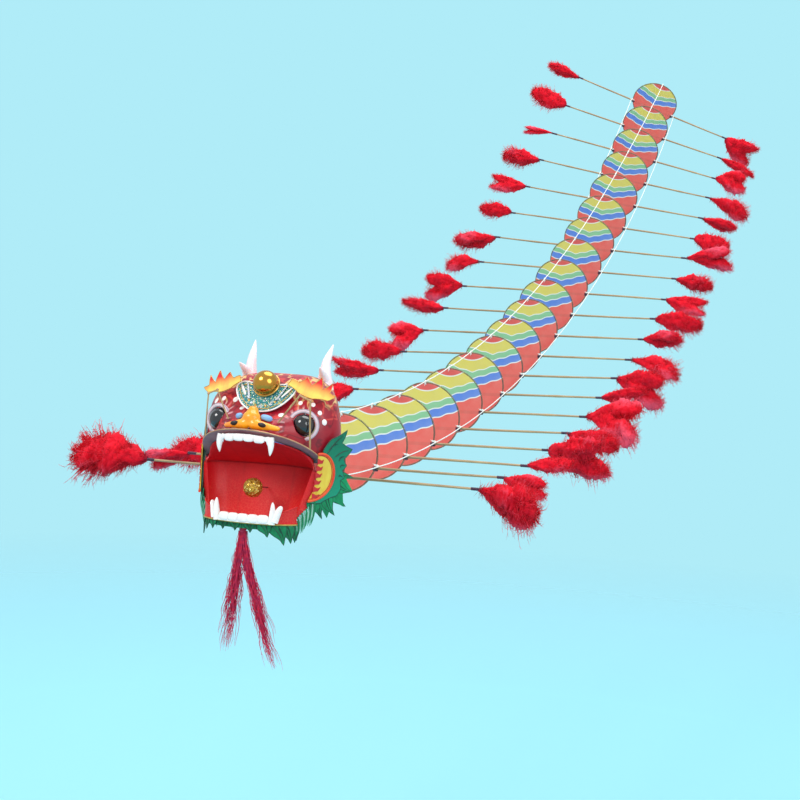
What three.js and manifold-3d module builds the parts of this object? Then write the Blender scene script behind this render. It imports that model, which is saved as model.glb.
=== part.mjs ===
// Dragon-headed centipede kite: a hollow painted head and a train of round silk discs on three lines.
// Millimetres, +Z up. The head faces -Y and the body runs back along +Y, rising towards the tail.
// The origin is the middle of the neck disc, where the flying line is tied.
import * as THREE from "three";
import { mergeVertices } from "three/addons/utils/BufferGeometryUtils.js";
import Module from "manifold-3d";

const wasm = await Module();
wasm.setup();

// ---- driving dimensions ----
const gap = 0.3; // air left between pieces that touch
const board = 1.6; // painted card

const discCount = 20;
const discRadius = 50;
const discSpacing = 106;
const hoopWidth = 2.6;
const hoopDepth = 2.6;
const silkThickness = 0.6;
const discSides = 20;

const stickRadius = 2;
const stickDrop = 16.5; // below the middle of the disc
const stickReachNeck = 213; // from the middle of the disc to the plume
const stickReachTail = 177;

const plumeLength = 92;
const plumeRadius = 17;
const plumeSides = 6;

const lineRadius = 0.6;
const lineOffset = 51.3; // from the middle of the disc to the line
const sideLineDrop = 13.4;
const lineSteps = 40;
const lineSides = 8;

const eyeRadius = 12.5;
const eyeClearance = 0.8;
const eyeX = 51;
const eyeY = -130;
const eyeZ = 51;

const foreheadPearl = { y: -124, z: 94, radius: 14.5 };
const mouthPearl = { y: -144, z: -21, radius: 11 };
const wireRadius = 0.8;
const beard = { x: -4, y: -156, top: -62, knotRadius: 4 };
const spar = { x: 30, z: -25.2, front: -106.4, radius: 2 }; // bamboo that ties the head to the neck disc

// Rise of the body above the horizontal and its twist, in degrees, from neck (0) to tail (1).
const bodyRise = (t) => 46.8 * t - 9.4 * t * t;
const bodyTwist = (t) => -9.4 * t + 35 * t ** 3;

// Sections of the skull from the snout back: half width, top and hem.
const skullSections = [
  { y: -160, half: 24, top: 49, hem: 41 },
  { y: -150, half: 38, top: 56, hem: 35 },
  { y: -140, half: 50, top: 61, hem: 29 },
  { y: -128, half: 62, top: 69, hem: 21 },
  { y: -115, half: 74, top: 84, hem: 13 },
  { y: -98, half: 81, top: 98, hem: 2 },
  { y: -75, half: 74, top: 104, hem: -12 },
  { y: -52, half: 64, top: 100, hem: -22 },
  { y: -36, half: 56, top: 91, hem: -26 },
];

const lip = { half: 72, middleY: -116, depth: 60, rear: 8, rise: 37, width: 0.24 };
const jaw = { half: 60, middleY: -140, front: 27, back: 30, floor: -58, thickness: 2.5 };
// The ear boards flare back from the mouth's corners, the right one more than the left.
const earHinge = { x: 70, y: -128, rightSweep: 41, leftSweep: 24 };

// ---- small tools ----
const vec = (x, y, z) => new THREE.Vector3(x, y, z);
const radians = THREE.MathUtils.degToRad;

function toSolid(geometry) {
  const bare = geometry.clone();
  bare.deleteAttribute("normal");
  bare.deleteAttribute("uv");
  const merged = mergeVertices(bare, 1e-4);
  const mesh = new wasm.Mesh({
    numProp: 3,
    vertProperties: merged.attributes.position.array,
    triVerts: new Uint32Array(merged.index.array),
  });
  return new wasm.Manifold(mesh);
}

function toGeometry(solid) {
  const mesh = solid.getMesh();
  const geometry = new THREE.BufferGeometry();
  geometry.setAttribute("position", new THREE.BufferAttribute(mesh.vertProperties, 3));
  geometry.setIndex(new THREE.BufferAttribute(mesh.triVerts, 1));
  return geometry;
}

function join(...pieces) {
  return toGeometry(pieces.map(toSolid).reduce((whole, piece) => whole.add(piece)));
}

function cut(piece, ...tools) {
  return toGeometry(tools.map(toSolid).reduce((left, tool) => left.subtract(tool), toSolid(piece)));
}

// The largest piece of a cut that left crumbs.
function largest(geometry) {
  const bodies = toSolid(geometry).decompose();
  bodies.sort((a, b) => b.volume() - a.volume());
  return toGeometry(bodies[0]);
}

function mirrored(geometry) {
  const copy = geometry.clone().applyMatrix4(new THREE.Matrix4().makeScale(-1, 1, 1));
  const index = copy.index ? copy.index : new THREE.BufferAttribute(
    Uint32Array.from({ length: copy.attributes.position.count }, (_, i) => i), 1);
  const turned = new Uint32Array(index.array);
  for (let i = 0; i < turned.length; i += 3) {
    [turned[i + 1], turned[i + 2]] = [turned[i + 2], turned[i + 1]];
  }
  copy.setIndex(new THREE.BufferAttribute(turned, 1));
  return copy;
}

// A closed sheet over surface(u, v), from `outside` to `inside` along its normal.
function sheet(surface, uSteps, vSteps, outside, inside) {
  const step = 1e-3;
  const points = [];
  for (const offset of [outside, inside]) {
    for (let j = 0; j <= vSteps; j += 1) {
      for (let i = 0; i <= uSteps; i += 1) {
        const u = i / uSteps;
        const v = j / vSteps;
        const alongU = surface(Math.min(u + step, 1), v).sub(surface(Math.max(u - step, 0), v));
        const alongV = surface(u, Math.min(v + step, 1)).sub(surface(u, Math.max(v - step, 0)));
        const normal = alongU.cross(alongV).normalize();
        points.push(surface(u, v).addScaledVector(normal, offset));
      }
    }
  }
  const layer = (uSteps + 1) * (vSteps + 1);
  const at = (side, i, j) => side * layer + j * (uSteps + 1) + i;
  const faces = [];
  const quad = (a, b, c, d) => faces.push(a, b, c, a, c, d);
  for (let j = 0; j < vSteps; j += 1) {
    for (let i = 0; i < uSteps; i += 1) {
      quad(at(0, i, j), at(0, i + 1, j), at(0, i + 1, j + 1), at(0, i, j + 1));
      quad(at(1, i, j), at(1, i, j + 1), at(1, i + 1, j + 1), at(1, i + 1, j));
    }
    quad(at(0, 0, j), at(0, 0, j + 1), at(1, 0, j + 1), at(1, 0, j));
    quad(at(0, uSteps, j + 1), at(0, uSteps, j), at(1, uSteps, j), at(1, uSteps, j + 1));
  }
  for (let i = 0; i < uSteps; i += 1) {
    quad(at(0, i + 1, 0), at(0, i, 0), at(1, i, 0), at(1, i + 1, 0));
    quad(at(0, i, vSteps), at(0, i + 1, vSteps), at(1, i + 1, vSteps), at(1, i, vSteps));
  }
  const geometry = new THREE.BufferGeometry().setFromPoints(points);
  geometry.setIndex(faces);
  return geometry;
}

// A solid through closed rings of points, with a fan over each end.
function loft(rings) {
  const count = rings[0].length;
  const points = rings.flat();
  const faces = [];
  for (let r = 0; r + 1 < rings.length; r += 1) {
    for (let i = 0; i < count; i += 1) {
      const next = (i + 1) % count;
      const [a, b] = [r * count + i, r * count + next];
      faces.push(a, b, b + count, a, b + count, a + count);
    }
  }
  for (const [r, order] of [[0, [0, 2, 1]], [rings.length - 1, [0, 1, 2]]]) {
    const middle = rings[r].reduce((sum, p) => sum.add(p), vec(0, 0, 0)).divideScalar(count);
    const centre = points.push(middle) - 1;
    for (let i = 0; i < count; i += 1) {
      const corners = [centre, r * count + i, r * count + ((i + 1) % count)];
      faces.push(...order.map((k) => corners[k]));
    }
  }
  const geometry = new THREE.BufferGeometry().setFromPoints(points);
  geometry.setIndex(faces);
  return geometry;
}

// A round bar from one point to another.
function bar(from, to, startRadius, endRadius = startRadius, sides = 8) {
  const along = to.clone().sub(from);
  const geometry = new THREE.CylinderGeometry(endRadius, startRadius, along.length(), sides);
  geometry.applyQuaternion(new THREE.Quaternion().setFromUnitVectors(vec(0, 1, 0), along.normalize()));
  const middle = from.clone().lerp(to, 0.5);
  return geometry.translate(middle.x, middle.y, middle.z);
}

function ball(centre, radius, across = 14, down = 10) {
  return new THREE.SphereGeometry(radius, across, down).translate(centre.x, centre.y, centre.z);
}

// A flat outline given thickness, standing on a plane: `across` and `up` are its two directions.
function plate(outline, origin, across, up, thickness, lift = 0) {
  const shape = outline instanceof THREE.Shape ? outline : new THREE.Shape(outline);
  const geometry = new THREE.ExtrudeGeometry(shape, { depth: thickness, bevelEnabled: false, curveSegments: 5 });
  const out = across.clone().cross(up).normalize();
  geometry.translate(0, 0, lift);
  geometry.applyMatrix4(new THREE.Matrix4().makeBasis(across.clone().normalize(), out.clone().cross(across)
    .normalize(), out).setPosition(origin));
  return geometry;
}

const flat = (pairs) => pairs.map(([x, y]) => new THREE.Vector2(x, y));

const kite = new THREE.Group();
kite.name = "dragon_kite";

function add(name, geometry, colour, roughness = 0.6, metalness = 0, parent = kite) {
  const material = new THREE.MeshStandardMaterial({ color: colour, roughness, metalness });
  const mesh = new THREE.Mesh(geometry, material);
  mesh.name = name;
  parent.add(mesh);
  return mesh;
}

// ---- body: discs on a curve ----
const stations = [];
{
  const centre = vec(0, 0, 0);
  for (let i = 0; i < discCount; i += 1) {
    const t = i / (discCount - 1);
    stations.push({ t, centre: centre.clone(), rise: radians(bodyRise(t)), twist: radians(bodyTwist(t)) });
    const onward = radians(bodyRise((i + 0.5) / (discCount - 1)));
    centre.add(vec(0, Math.cos(onward), Math.sin(onward)).multiplyScalar(discSpacing));
  }
}

function onStation(station, x, y, z) {
  return vec(x, y, z).applyEuler(new THREE.Euler(station.rise, station.twist, 0)).add(station.centre);
}

// Hoop with silk over its front, in the disc's own frame: the disc faces -Y.
function hoopAndSilk() {
  const front = -hoopDepth / 2;
  const profile = flat([
    [0, front],
    [discRadius, front],
    [discRadius, -front],
    [discRadius - hoopWidth, -front],
    [discRadius - hoopWidth, front + silkThickness],
    [0, front + silkThickness],
  ]);
  return new THREE.LatheGeometry(profile, discSides);
}

// A soft plume, thickest just past its root, along +X from the origin.
function plume(length) {
  const profile = flat([[0, 0], [0.3, 0.08], [0.9, 0.32], [1, 0.55], [0.62, 0.82], [0, 1]]);
  for (const p of profile) {
    p.set(p.x * plumeRadius, p.y * length);
  }
  profile[0].y = -4;
  return new THREE.LatheGeometry(profile, plumeSides).rotateZ(-Math.PI / 2);
}

// Each plume droops and sweeps back a little differently.
function plumePose(index, side) {
  return {
    droop: radians(7 + 9 * Math.sin(1.7 * index + side)),
    sweep: radians(8 * Math.sin(2.9 * index + 2 * side)),
    length: plumeLength * (1 + 0.12 * Math.sin(2.3 * index + 3 * side)),
  };
}

function waistDisc(index) {
  const reach = THREE.MathUtils.lerp(stickReachNeck, stickReachTail, stations[index].t);
  const behind = hoopDepth / 2 + stickRadius * 0.7;
  const stick = bar(vec(-reach - 6, behind, -stickDrop), vec(reach + 6, behind, -stickDrop), stickRadius,
    stickRadius, 6);
  const pieces = [hoopAndSilk(), stick];
  for (const side of [-1, 1]) {
    const pose = plumePose(index, side);
    const feather = plume(pose.length);
    feather.rotateZ(pose.sweep).rotateY(pose.droop);
    const placed = side > 0 ? feather : mirrored(feather);
    pieces.push(placed.translate(side * reach, behind, -stickDrop));
  }
  return join(...pieces);
}

function addBody() {
  stations.forEach((station, index) => {
    const mesh = add(`waist_disc_${String(index + 1).padStart(2, "0")}`, waistDisc(index), "#e8604f", 0.6);
    mesh.rotation.set(station.rise, station.twist, 0);
    mesh.position.copy(station.centre);
  });
}

// One line runs over the tops of the discs and one down each side, tied at every disc.
function bodyLine(x, z, start) {
  const ends = stations.map((station) => onStation(station, x, 0, z));
  const route = new THREE.CatmullRomCurve3([start, ...ends]);
  const section = new THREE.Shape().absarc(0, 0, lineRadius, 0, 2 * Math.PI);
  return new THREE.ExtrudeGeometry(section, {
    steps: lineSteps,
    curveSegments: lineSides / 2,
    extrudePath: route,
  });
}

function addLines() {
  const side = lineOffset;
  add("top_line", bodyLine(0, lineOffset, vec(0, -32, 62)), "#f2f0ea", 0.8);
  add("left_line", bodyLine(-side, -sideLineDrop, vec(-57, -32, -12)), "#f2f0ea", 0.8);
  add("right_line", bodyLine(side, -sideLineDrop, vec(57, -32, -12)), "#f2f0ea", 0.8);
}

// ---- head ----
const sectionPower = 0.5; // how square the skull's cross sections are
const skullGrid = { across: 18, back: 10 };
const skullThickness = 2;

const skullCrown = new THREE.CatmullRomCurve3(
  skullSections.map((s) => vec(s.half, s.y, s.top)), false, "catmullrom");
const skullHem = new THREE.CatmullRomCurve3(
  skullSections.map((s) => vec(s.half, s.y, s.hem)), false, "catmullrom");

function skullPoint(u, v) {
  const angle = radians(180 * u - 90);
  const crown = skullCrown.getPoint(v);
  const hem = skullHem.getPoint(v);
  const across = Math.sign(angle) * Math.abs(Math.sin(angle)) ** sectionPower;
  const up = Math.max(Math.cos(angle), 0) ** sectionPower;
  return vec(crown.x * across, crown.y, THREE.MathUtils.lerp(hem.z, crown.z, up));
}

// The whole volume of the skull, grown by `extra`, used to trim what sits on it.
function skullBlock(extra) {
  const rings = [];
  for (let j = 0; j <= skullGrid.back; j += 1) {
    const v = j / skullGrid.back;
    const crown = skullCrown.getPoint(v);
    const hem = skullHem.getPoint(v);
    const middle = (crown.z + hem.z) / 2;
    const ring = [];
    for (let i = 0; i <= skullGrid.across; i += 1) {
      const p = skullPoint(i / skullGrid.across, v);
      const grow = (crown.x + extra) / crown.x;
      const rise = (crown.z - middle + extra) / (crown.z - middle);
      ring.push(vec(p.x * grow, p.y, middle + (p.z - middle) * rise));
    }
    rings.push(ring);
  }
  rings[0].forEach((p) => {
    p.y -= extra;
  });
  return loft(rings);
}

const eyes = [-1, 1].map((side) => ({
  side,
  name: side < 0 ? "left" : "right",
  centre: vec(side * eyeX, eyeY, eyeZ),
  facing: vec(side * 0.3, -1, 0.08).normalize(),
}));

const browPearlPocket = () => ball(vec(0, foreheadPearl.y, foreheadPearl.z), foreheadPearl.radius + 0.8);

function skullShell() {
  const shell = sheet(skullPoint, skullGrid.across, skullGrid.back, 0, -skullThickness);
  return cut(shell, browPearlPocket(), ...eyes.map((eye) => ball(eye.centre, eyeRadius + eyeClearance)));
}

// Height of the lip board: it climbs from the corners of the mouth to the front.
function lipHeight(y) {
  const forward = THREE.MathUtils.clamp((lip.middleY - y) / lip.depth, 0, 1);
  return lip.rear + lip.rise * forward ** 0.85;
}

function lipPoint(turn, scale) {
  const y = lip.middleY - lip.depth * scale * Math.cos(turn);
  return vec(lip.half * scale * Math.sin(turn), y, lipHeight(y));
}

function lipBoard() {
  const surface = (u, v) => lipPoint(radians(176 * u - 88), 1 - lip.width * (1 - v));
  return sheet(surface, 22, 3, board / 2, -board / 2);
}

// The mouth is a folded red card: a palate sloping back to a crease, then down to the jaw.
function linerPoint(u, v) {
  const turn = radians(172 * u - 86);
  const [side, ahead] = [Math.sin(turn), Math.cos(turn)];
  const crease = 0.42;
  const y = -123 - 38 * ahead;
  const top = vec(62 * side, y, lipHeight(y) - 3.2);
  const fold = vec(66 * side, -133 + 37 * ahead, 4 - 2 * ahead);
  const foot = vec(56 * side, -142 + 30 * ahead, -50 - 3 * ahead);
  if (v < crease) {
    return top.lerp(fold, v / crease);
  }
  return fold.lerp(foot, (v - crease) / (1 - crease));
}

function mouthLiner() {
  return sheet(linerPoint, 18, 8, board / 2, -board / 2);
}

function jawEdge(turn, inset = 0) {
  return vec((jaw.half - inset) * Math.sin(turn), jaw.middleY - (jaw.front - inset) * Math.cos(turn), jaw.floor);
}

function jawTray() {
  const outline = new THREE.Shape();
  outline.absellipse(0, jaw.middleY, jaw.half, jaw.front, Math.PI, 2 * Math.PI);
  outline.absellipse(0, jaw.middleY, jaw.half, jaw.back, 0, Math.PI);
  const floor = new THREE.ExtrudeGeometry(outline, { depth: jaw.thickness, bevelEnabled: false, curveSegments: 16 });
  floor.translate(0, 0, jaw.floor);
  const rim = (u, v) => {
    const turn = radians(170 * u - 85);
    const height = 8 + 12 * Math.abs(Math.sin(turn)) ** 3;
    return jawEdge(turn, 0.6).add(vec(0, 0, 0.5 + v * height));
  };
  return join(floor, sheet(rim, 20, 2, 0, -board));
}

// A row of rounded front teeth between two fangs, along a curve; `up` is 1 or -1.
function teeth(path, half, count, up, toothHeight, fangHeight) {
  const gum = sheet((u, v) => path(half * (2 * u - 1)).add(vec(0, 0, up * v * toothHeight * 0.55)), 14, 1, 1.6, -1.2);
  const pieces = [gum];
  const width = (path(half).x * 0.8) / count;
  for (let i = 0; i < count; i += 1) {
    const turn = half * 0.8 * ((2 * (i + 0.5)) / count - 1);
    const crown = new THREE.CylinderGeometry(1, 0.8, toothHeight, 8).rotateX((up * Math.PI) / 2);
    crown.scale(width, 2.4, 1).rotateZ(turn * 0.6);
    pieces.push(crown.translate(...path(turn).add(vec(0, 0, up * toothHeight * 0.55)).toArray()));
  }
  for (const side of [-1, 1]) {
    const root = path(side * half * 0.97).add(vec(0, 0, up));
    const tip = root.clone().add(vec(side * 1.2, -1, up * (fangHeight - 1)));
    pieces.push(bar(root, tip, 3.2, 0.8, 6));
  }
  return join(...pieces);
}

function upperTeeth() {
  const path = (turn) => lipPoint(turn, 0.965).add(vec(0, 0, -board - 2.3));
  return teeth(path, radians(26), 5, -1, 8, 20);
}

function lowerTeeth() {
  const path = (turn) => jawEdge(turn, -3.8).add(vec(0, 0, 1.5));
  return teeth(path, radians(40), 6, 1, 11, 26);
}

function foreheadPlate() {
  const outline = new THREE.Shape();
  outline.moveTo(0, 0);
  outline.quadraticCurveTo(-27, 5, -36, 30);
  outline.quadraticCurveTo(-30, 39, -18, 37);
  outline.quadraticCurveTo(0, 33, 18, 37);
  outline.quadraticCurveTo(30, 39, 36, 30);
  outline.quadraticCurveTo(27, 5, 0, 0);
  return plate(outline, vec(0, -138, 62), vec(1, 0, 0), vec(0, 23, 32), board, 0.4);
}

function nose() {
  const bulb = new THREE.SphereGeometry(1, 12, 8).scale(11, 11, 10).translate(0, -154, 56);
  const wings = new THREE.SphereGeometry(1, 14, 8).scale(27, 9, 5).translate(0, -153, 51);
  return join(bulb, wings);
}

function brow() {
  const outline = flat([
    [0, 0], [14, -4], [32, -5], [48, -1], [55, 7], [47, 8], [46, 20], [38, 9],
    [32, 22], [25, 9], [17, 16], [11, 7], [2, 8],
  ]);
  return plate(outline, vec(28, -127, 94), vec(48, 10, -15.5), vec(0, 16, 38), board, 0);
}

function horn() {
  const root = vec(47, -68, 84);
  const main = join(bar(root, vec(47, -66, 112), 7, 4.6), bar(vec(47, -66.2, 111), vec(49, -53, 139), 4.7, 0.7));
  return join(main, bar(vec(48, -68, 104), vec(50, -90, 113), 4, 0.7));
}

// The ear board stands in one upright plane, given by (along, height) pairs.
function earPlate(outline, sweep, lift) {
  const across = vec(Math.sin(radians(sweep)), Math.cos(radians(sweep)), 0);
  return plate(outline, vec(earHinge.x, earHinge.y, 0), across, vec(0, 0, 1), board, lift);
}

function ear(sweep) {
  return earPlate(flat([
    [-1, 3], [5, 13], [6, 24], [17, 36], [34, 47], [29, 33], [41, 26], [31, 15], [33, 4], [29, -6], [26, -22], [4, -33],
    [-6, -34],
  ]), sweep, 0);
}

function earPanel(sweep) {
  const outline = new THREE.Shape();
  outline.moveTo(2, 16);
  outline.bezierCurveTo(28, 26, 34, -26, -5, -30);
  const flameTips = [[1, -27], [2, -21], [9, -20], [6, -14], [13, -11], [7, -6], [13, -2], [6, 3], [11, 8]];
  for (const [along, height] of flameTips) {
    outline.lineTo(along, height);
  }
  return earPlate(outline, sweep, board + gap);
}

function mane(sweep) {
  return earPlate(flat([
    [20, -8], [34, -4], [44, -20], [32, -20], [34, -38], [22, -31], [14, -50], [6, -37], [-6, -50], [-7, -36],
    [4, -28],
  ]), sweep, -board - gap);
}

// Jagged green fringe under the jaw, longer towards the sides.
function chinFringe() {
  const teethCount = 13;
  const surface = (u, v) => {
    const turn = radians(164 * u - 82);
    const saw = Math.abs(2 * ((u * teethCount) % 1) - 1);
    const drop = 4 + (5 + 13 * Math.abs(Math.sin(turn))) * (1 - saw);
    return jawEdge(turn, 2).add(vec(0, 0, -gap - 0.1 - v * drop));
  };
  return sheet(surface, 2 * teethCount, 1, 0, -board);
}

function eyeRing(eye) {
  const profile = flat([
    [eyeRadius + eyeClearance, -3], [eyeRadius + 4.4, -3], [eyeRadius + 4.8, -0.5], [eyeRadius + 2.6, 1.4],
    [eyeRadius + eyeClearance, 0.6], [eyeRadius + eyeClearance, -3],
  ]);
  const ring = new THREE.LatheGeometry(profile, 20);
  ring.applyQuaternion(new THREE.Quaternion().setFromUnitVectors(vec(0, 1, 0), eye.facing));
  ring.translate(...eye.centre.clone().addScaledVector(eye.facing, 3.4).toArray());
  return ring;
}

function eyePin(eye) {
  const reach = eyeRadius + eyeClearance / 2;
  return bar(eye.centre.clone().add(vec(0, 0, -reach)), eye.centre.clone().add(vec(0, 0, reach)), 0.9);
}

function eyeBall(eye) {
  const bore = bar(eye.centre.clone().add(vec(0, 0, -20)), eye.centre.clone().add(vec(0, 0, 20)), 1.3);
  return cut(ball(eye.centre, eyeRadius), bore);
}

// Two thin bamboo strips stand in front of each eye, from the brow down to the lip and the snout.
function faceSticks() {
  const outer = vec(62, -140, 79);
  const inner = vec(50, -142, 84);
  const thick = 1.1;
  return join(
    bar(outer, vec(64, -139.5, 26.5), thick, thick, 6),
    bar(inner, vec(30, -152, 53), thick, thick, 6),
    bar(outer, inner, thick, thick, 6),
  );
}

function mouthPearlWire() {
  const rear = vec(0, -105.2, mouthPearl.z - 3);
  const front = vec(0, mouthPearl.y + mouthPearl.radius + gap, mouthPearl.z);
  return bar(rear, front, wireRadius);
}

// The beard is one tassel of thread that parts into two strands.
function beardTassel() {
  const knot = vec(beard.x, beard.y, beard.top - beard.knotRadius);
  return join(
    ball(knot, beard.knotRadius, 8, 6),
    bar(knot, vec(-14, beard.y, -205), 3, 7, 6),
    bar(knot, vec(44, beard.y, -222), 3, 7, 6),
  );
}

function beardStaple() {
  return bar(vec(beard.x, beard.y, jaw.floor - gap), vec(beard.x, beard.y, beard.top + gap), 1.6);
}

// Bamboo rim that stiffens the open back of the skull.
function headRim() {
  const section = (scale) => {
    const points = [];
    for (let i = 0; i <= skullGrid.across; i += 1) {
      const p = skullPoint(i / skullGrid.across, 1);
      points.push(new THREE.Vector2(p.x * scale, 30 + (p.z - 30) * scale));
    }
    return points;
  };
  const shape = new THREE.Shape(section(0.945));
  shape.holes.push(new THREE.Path(section(0.9).reverse()));
  const rim = new THREE.ExtrudeGeometry(shape, { depth: 3, bevelEnabled: false });
  return rim.rotateX(Math.PI / 2).translate(0, -37, 0);
}

function neckSpar(side) {
  const rear = -hoopDepth / 2 - gap;
  return bar(vec(side * spar.x, spar.front, spar.z), vec(side * spar.x, rear, spar.z), spar.radius);
}

function addHead() {
  const trim = skullBlock(2 * gap);
  const onSkull = (geometry) => largest(cut(geometry, trim));
  const skull = skullShell();
  add("skull_shell", skull, "#a5142a", 0.35);
  add("lip_board", lipBoard(), "#c9a878", 0.5);
  add("mouth_liner", mouthLiner(), "#d21a2a", 0.4);
  add("jaw_tray", jawTray(), "#d9202f", 0.4);
  add("upper_teeth", upperTeeth(), "#f4f1ea", 0.3);
  add("lower_teeth", lowerTeeth(), "#f4f1ea", 0.3);
  add("forehead_plate", onSkull(cut(foreheadPlate(), browPearlPocket())), "#2f8f86", 0.3, 0.4);
  add("forehead_pearl", ball(vec(0, foreheadPearl.y, foreheadPearl.z), foreheadPearl.radius), "#c9a227", 0.2, 1);
  add("nose", onSkull(nose()), "#f7ae1e", 0.35);
  add("right_brow", onSkull(brow()), "#f4c66c", 0.5);
  add("left_brow", mirrored(onSkull(brow())), "#f4c66c", 0.5);
  add("right_horn", onSkull(horn()), "#f3e6e6", 0.35);
  add("left_horn", mirrored(onSkull(horn())), "#f3e6e6", 0.35);
  add("right_ear", onSkull(ear(earHinge.rightSweep)), "#1e7a57", 0.5);
  add("left_ear", mirrored(onSkull(ear(earHinge.leftSweep))), "#1e7a57", 0.5);
  add("right_ear_panel", onSkull(earPanel(earHinge.rightSweep)), "#cda53c", 0.5);
  add("left_ear_panel", mirrored(onSkull(earPanel(earHinge.leftSweep))), "#cda53c", 0.5);
  add("right_mane", onSkull(mane(earHinge.rightSweep)), "#14664a", 0.5);
  add("left_mane", mirrored(onSkull(mane(earHinge.leftSweep))), "#14664a", 0.5);
  add("chin_fringe", chinFringe(), "#14774f", 0.5);
  for (const eye of eyes) {
    add(`${eye.name}_eye`, eyeBall(eye), "#141216", 0.12);
    add(`${eye.name}_eye_pin`, eyePin(eye), "#b9bcc0", 0.3, 1);
    add(`${eye.name}_eye_ring`, onSkull(eyeRing(eye)), "#f2efe9", 0.4);
    add(`${eye.name}_neck_spar`, neckSpar(eye.side), "#b98f57", 0.7);
  }
  add("right_face_sticks", onSkull(faceSticks()), "#b98f57", 0.7);
  add("left_face_sticks", mirrored(onSkull(faceSticks())), "#b98f57", 0.7);
  add("mouth_pearl", ball(vec(0, mouthPearl.y, mouthPearl.z), mouthPearl.radius, 12, 8), "#b8902a", 0.4, 1);
  add("mouth_pearl_wire", mouthPearlWire(), "#9a9a9a", 0.4, 1);
  add("beard_tassel", beardTassel(), "#c01848", 0.8);
  add("beard_staple", beardStaple(), "#c01848", 0.8);
  add("head_rim", headRim(), "#b98f57", 0.7);
}

addBody();
addLines();
addHead();

export default kite;
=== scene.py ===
import math
import random

import bpy
from mathutils import Matrix, Vector, noise


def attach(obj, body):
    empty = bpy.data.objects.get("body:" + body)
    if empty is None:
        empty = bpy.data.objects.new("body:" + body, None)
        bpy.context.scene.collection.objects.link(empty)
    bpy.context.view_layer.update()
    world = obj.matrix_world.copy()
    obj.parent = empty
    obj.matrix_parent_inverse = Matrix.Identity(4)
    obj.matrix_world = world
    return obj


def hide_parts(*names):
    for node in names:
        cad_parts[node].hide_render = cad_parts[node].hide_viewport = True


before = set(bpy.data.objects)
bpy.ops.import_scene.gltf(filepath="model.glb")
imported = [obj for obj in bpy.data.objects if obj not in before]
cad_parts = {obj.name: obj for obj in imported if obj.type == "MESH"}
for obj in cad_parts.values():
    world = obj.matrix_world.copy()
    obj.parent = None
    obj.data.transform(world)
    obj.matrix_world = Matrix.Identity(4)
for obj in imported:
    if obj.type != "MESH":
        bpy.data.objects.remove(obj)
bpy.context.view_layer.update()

mm = 0.001


# shader tools
def tone(red, green, blue):  # a screen colour as the linear one that shaders use
    parts = [c / 255 for c in (red, green, blue)]
    return tuple(c / 12.92 if c <= 0.04045 else ((c + 0.055) / 1.055) ** 2.4 for c in parts) + (1,)


class Wire:  # a socket that can be used in sums
    def __init__(self, paint, socket):
        self.paint = paint
        self.socket = socket

    def math(self, operation, *others, clamp=False):
        values = dict(enumerate((self,) + others))
        return self.paint.node("Math", {"operation": operation, "use_clamp": clamp}, values)

    def after(self, operation, other):
        return self.paint.node("Math", {"operation": operation}, {0: other, 1: self})

    def __add__(self, other):
        return self.math("ADD", other)

    def __radd__(self, other):
        return self.after("ADD", other)

    def __sub__(self, other):
        return self.math("SUBTRACT", other)

    def __rsub__(self, other):
        return self.after("SUBTRACT", other)

    def __mul__(self, other):
        return self.math("MULTIPLY", other)

    def __rmul__(self, other):
        return self.after("MULTIPLY", other)

    def __truediv__(self, other):
        return self.math("DIVIDE", other)

    def __rtruediv__(self, other):
        return self.after("DIVIDE", other)

    def __pow__(self, other):
        return self.math("POWER", other)

    def __neg__(self):
        return self.math("MULTIPLY", -1.0)

    def __abs__(self):
        return self.math("ABSOLUTE")

    def wave(self):
        return self.math("SINE")

    def above(self, edge, soft):  # 0 below the edge and 1 above it
        return (self - edge).math("MULTIPLY_ADD", 1 / soft, 0.5, clamp=True)


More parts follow.
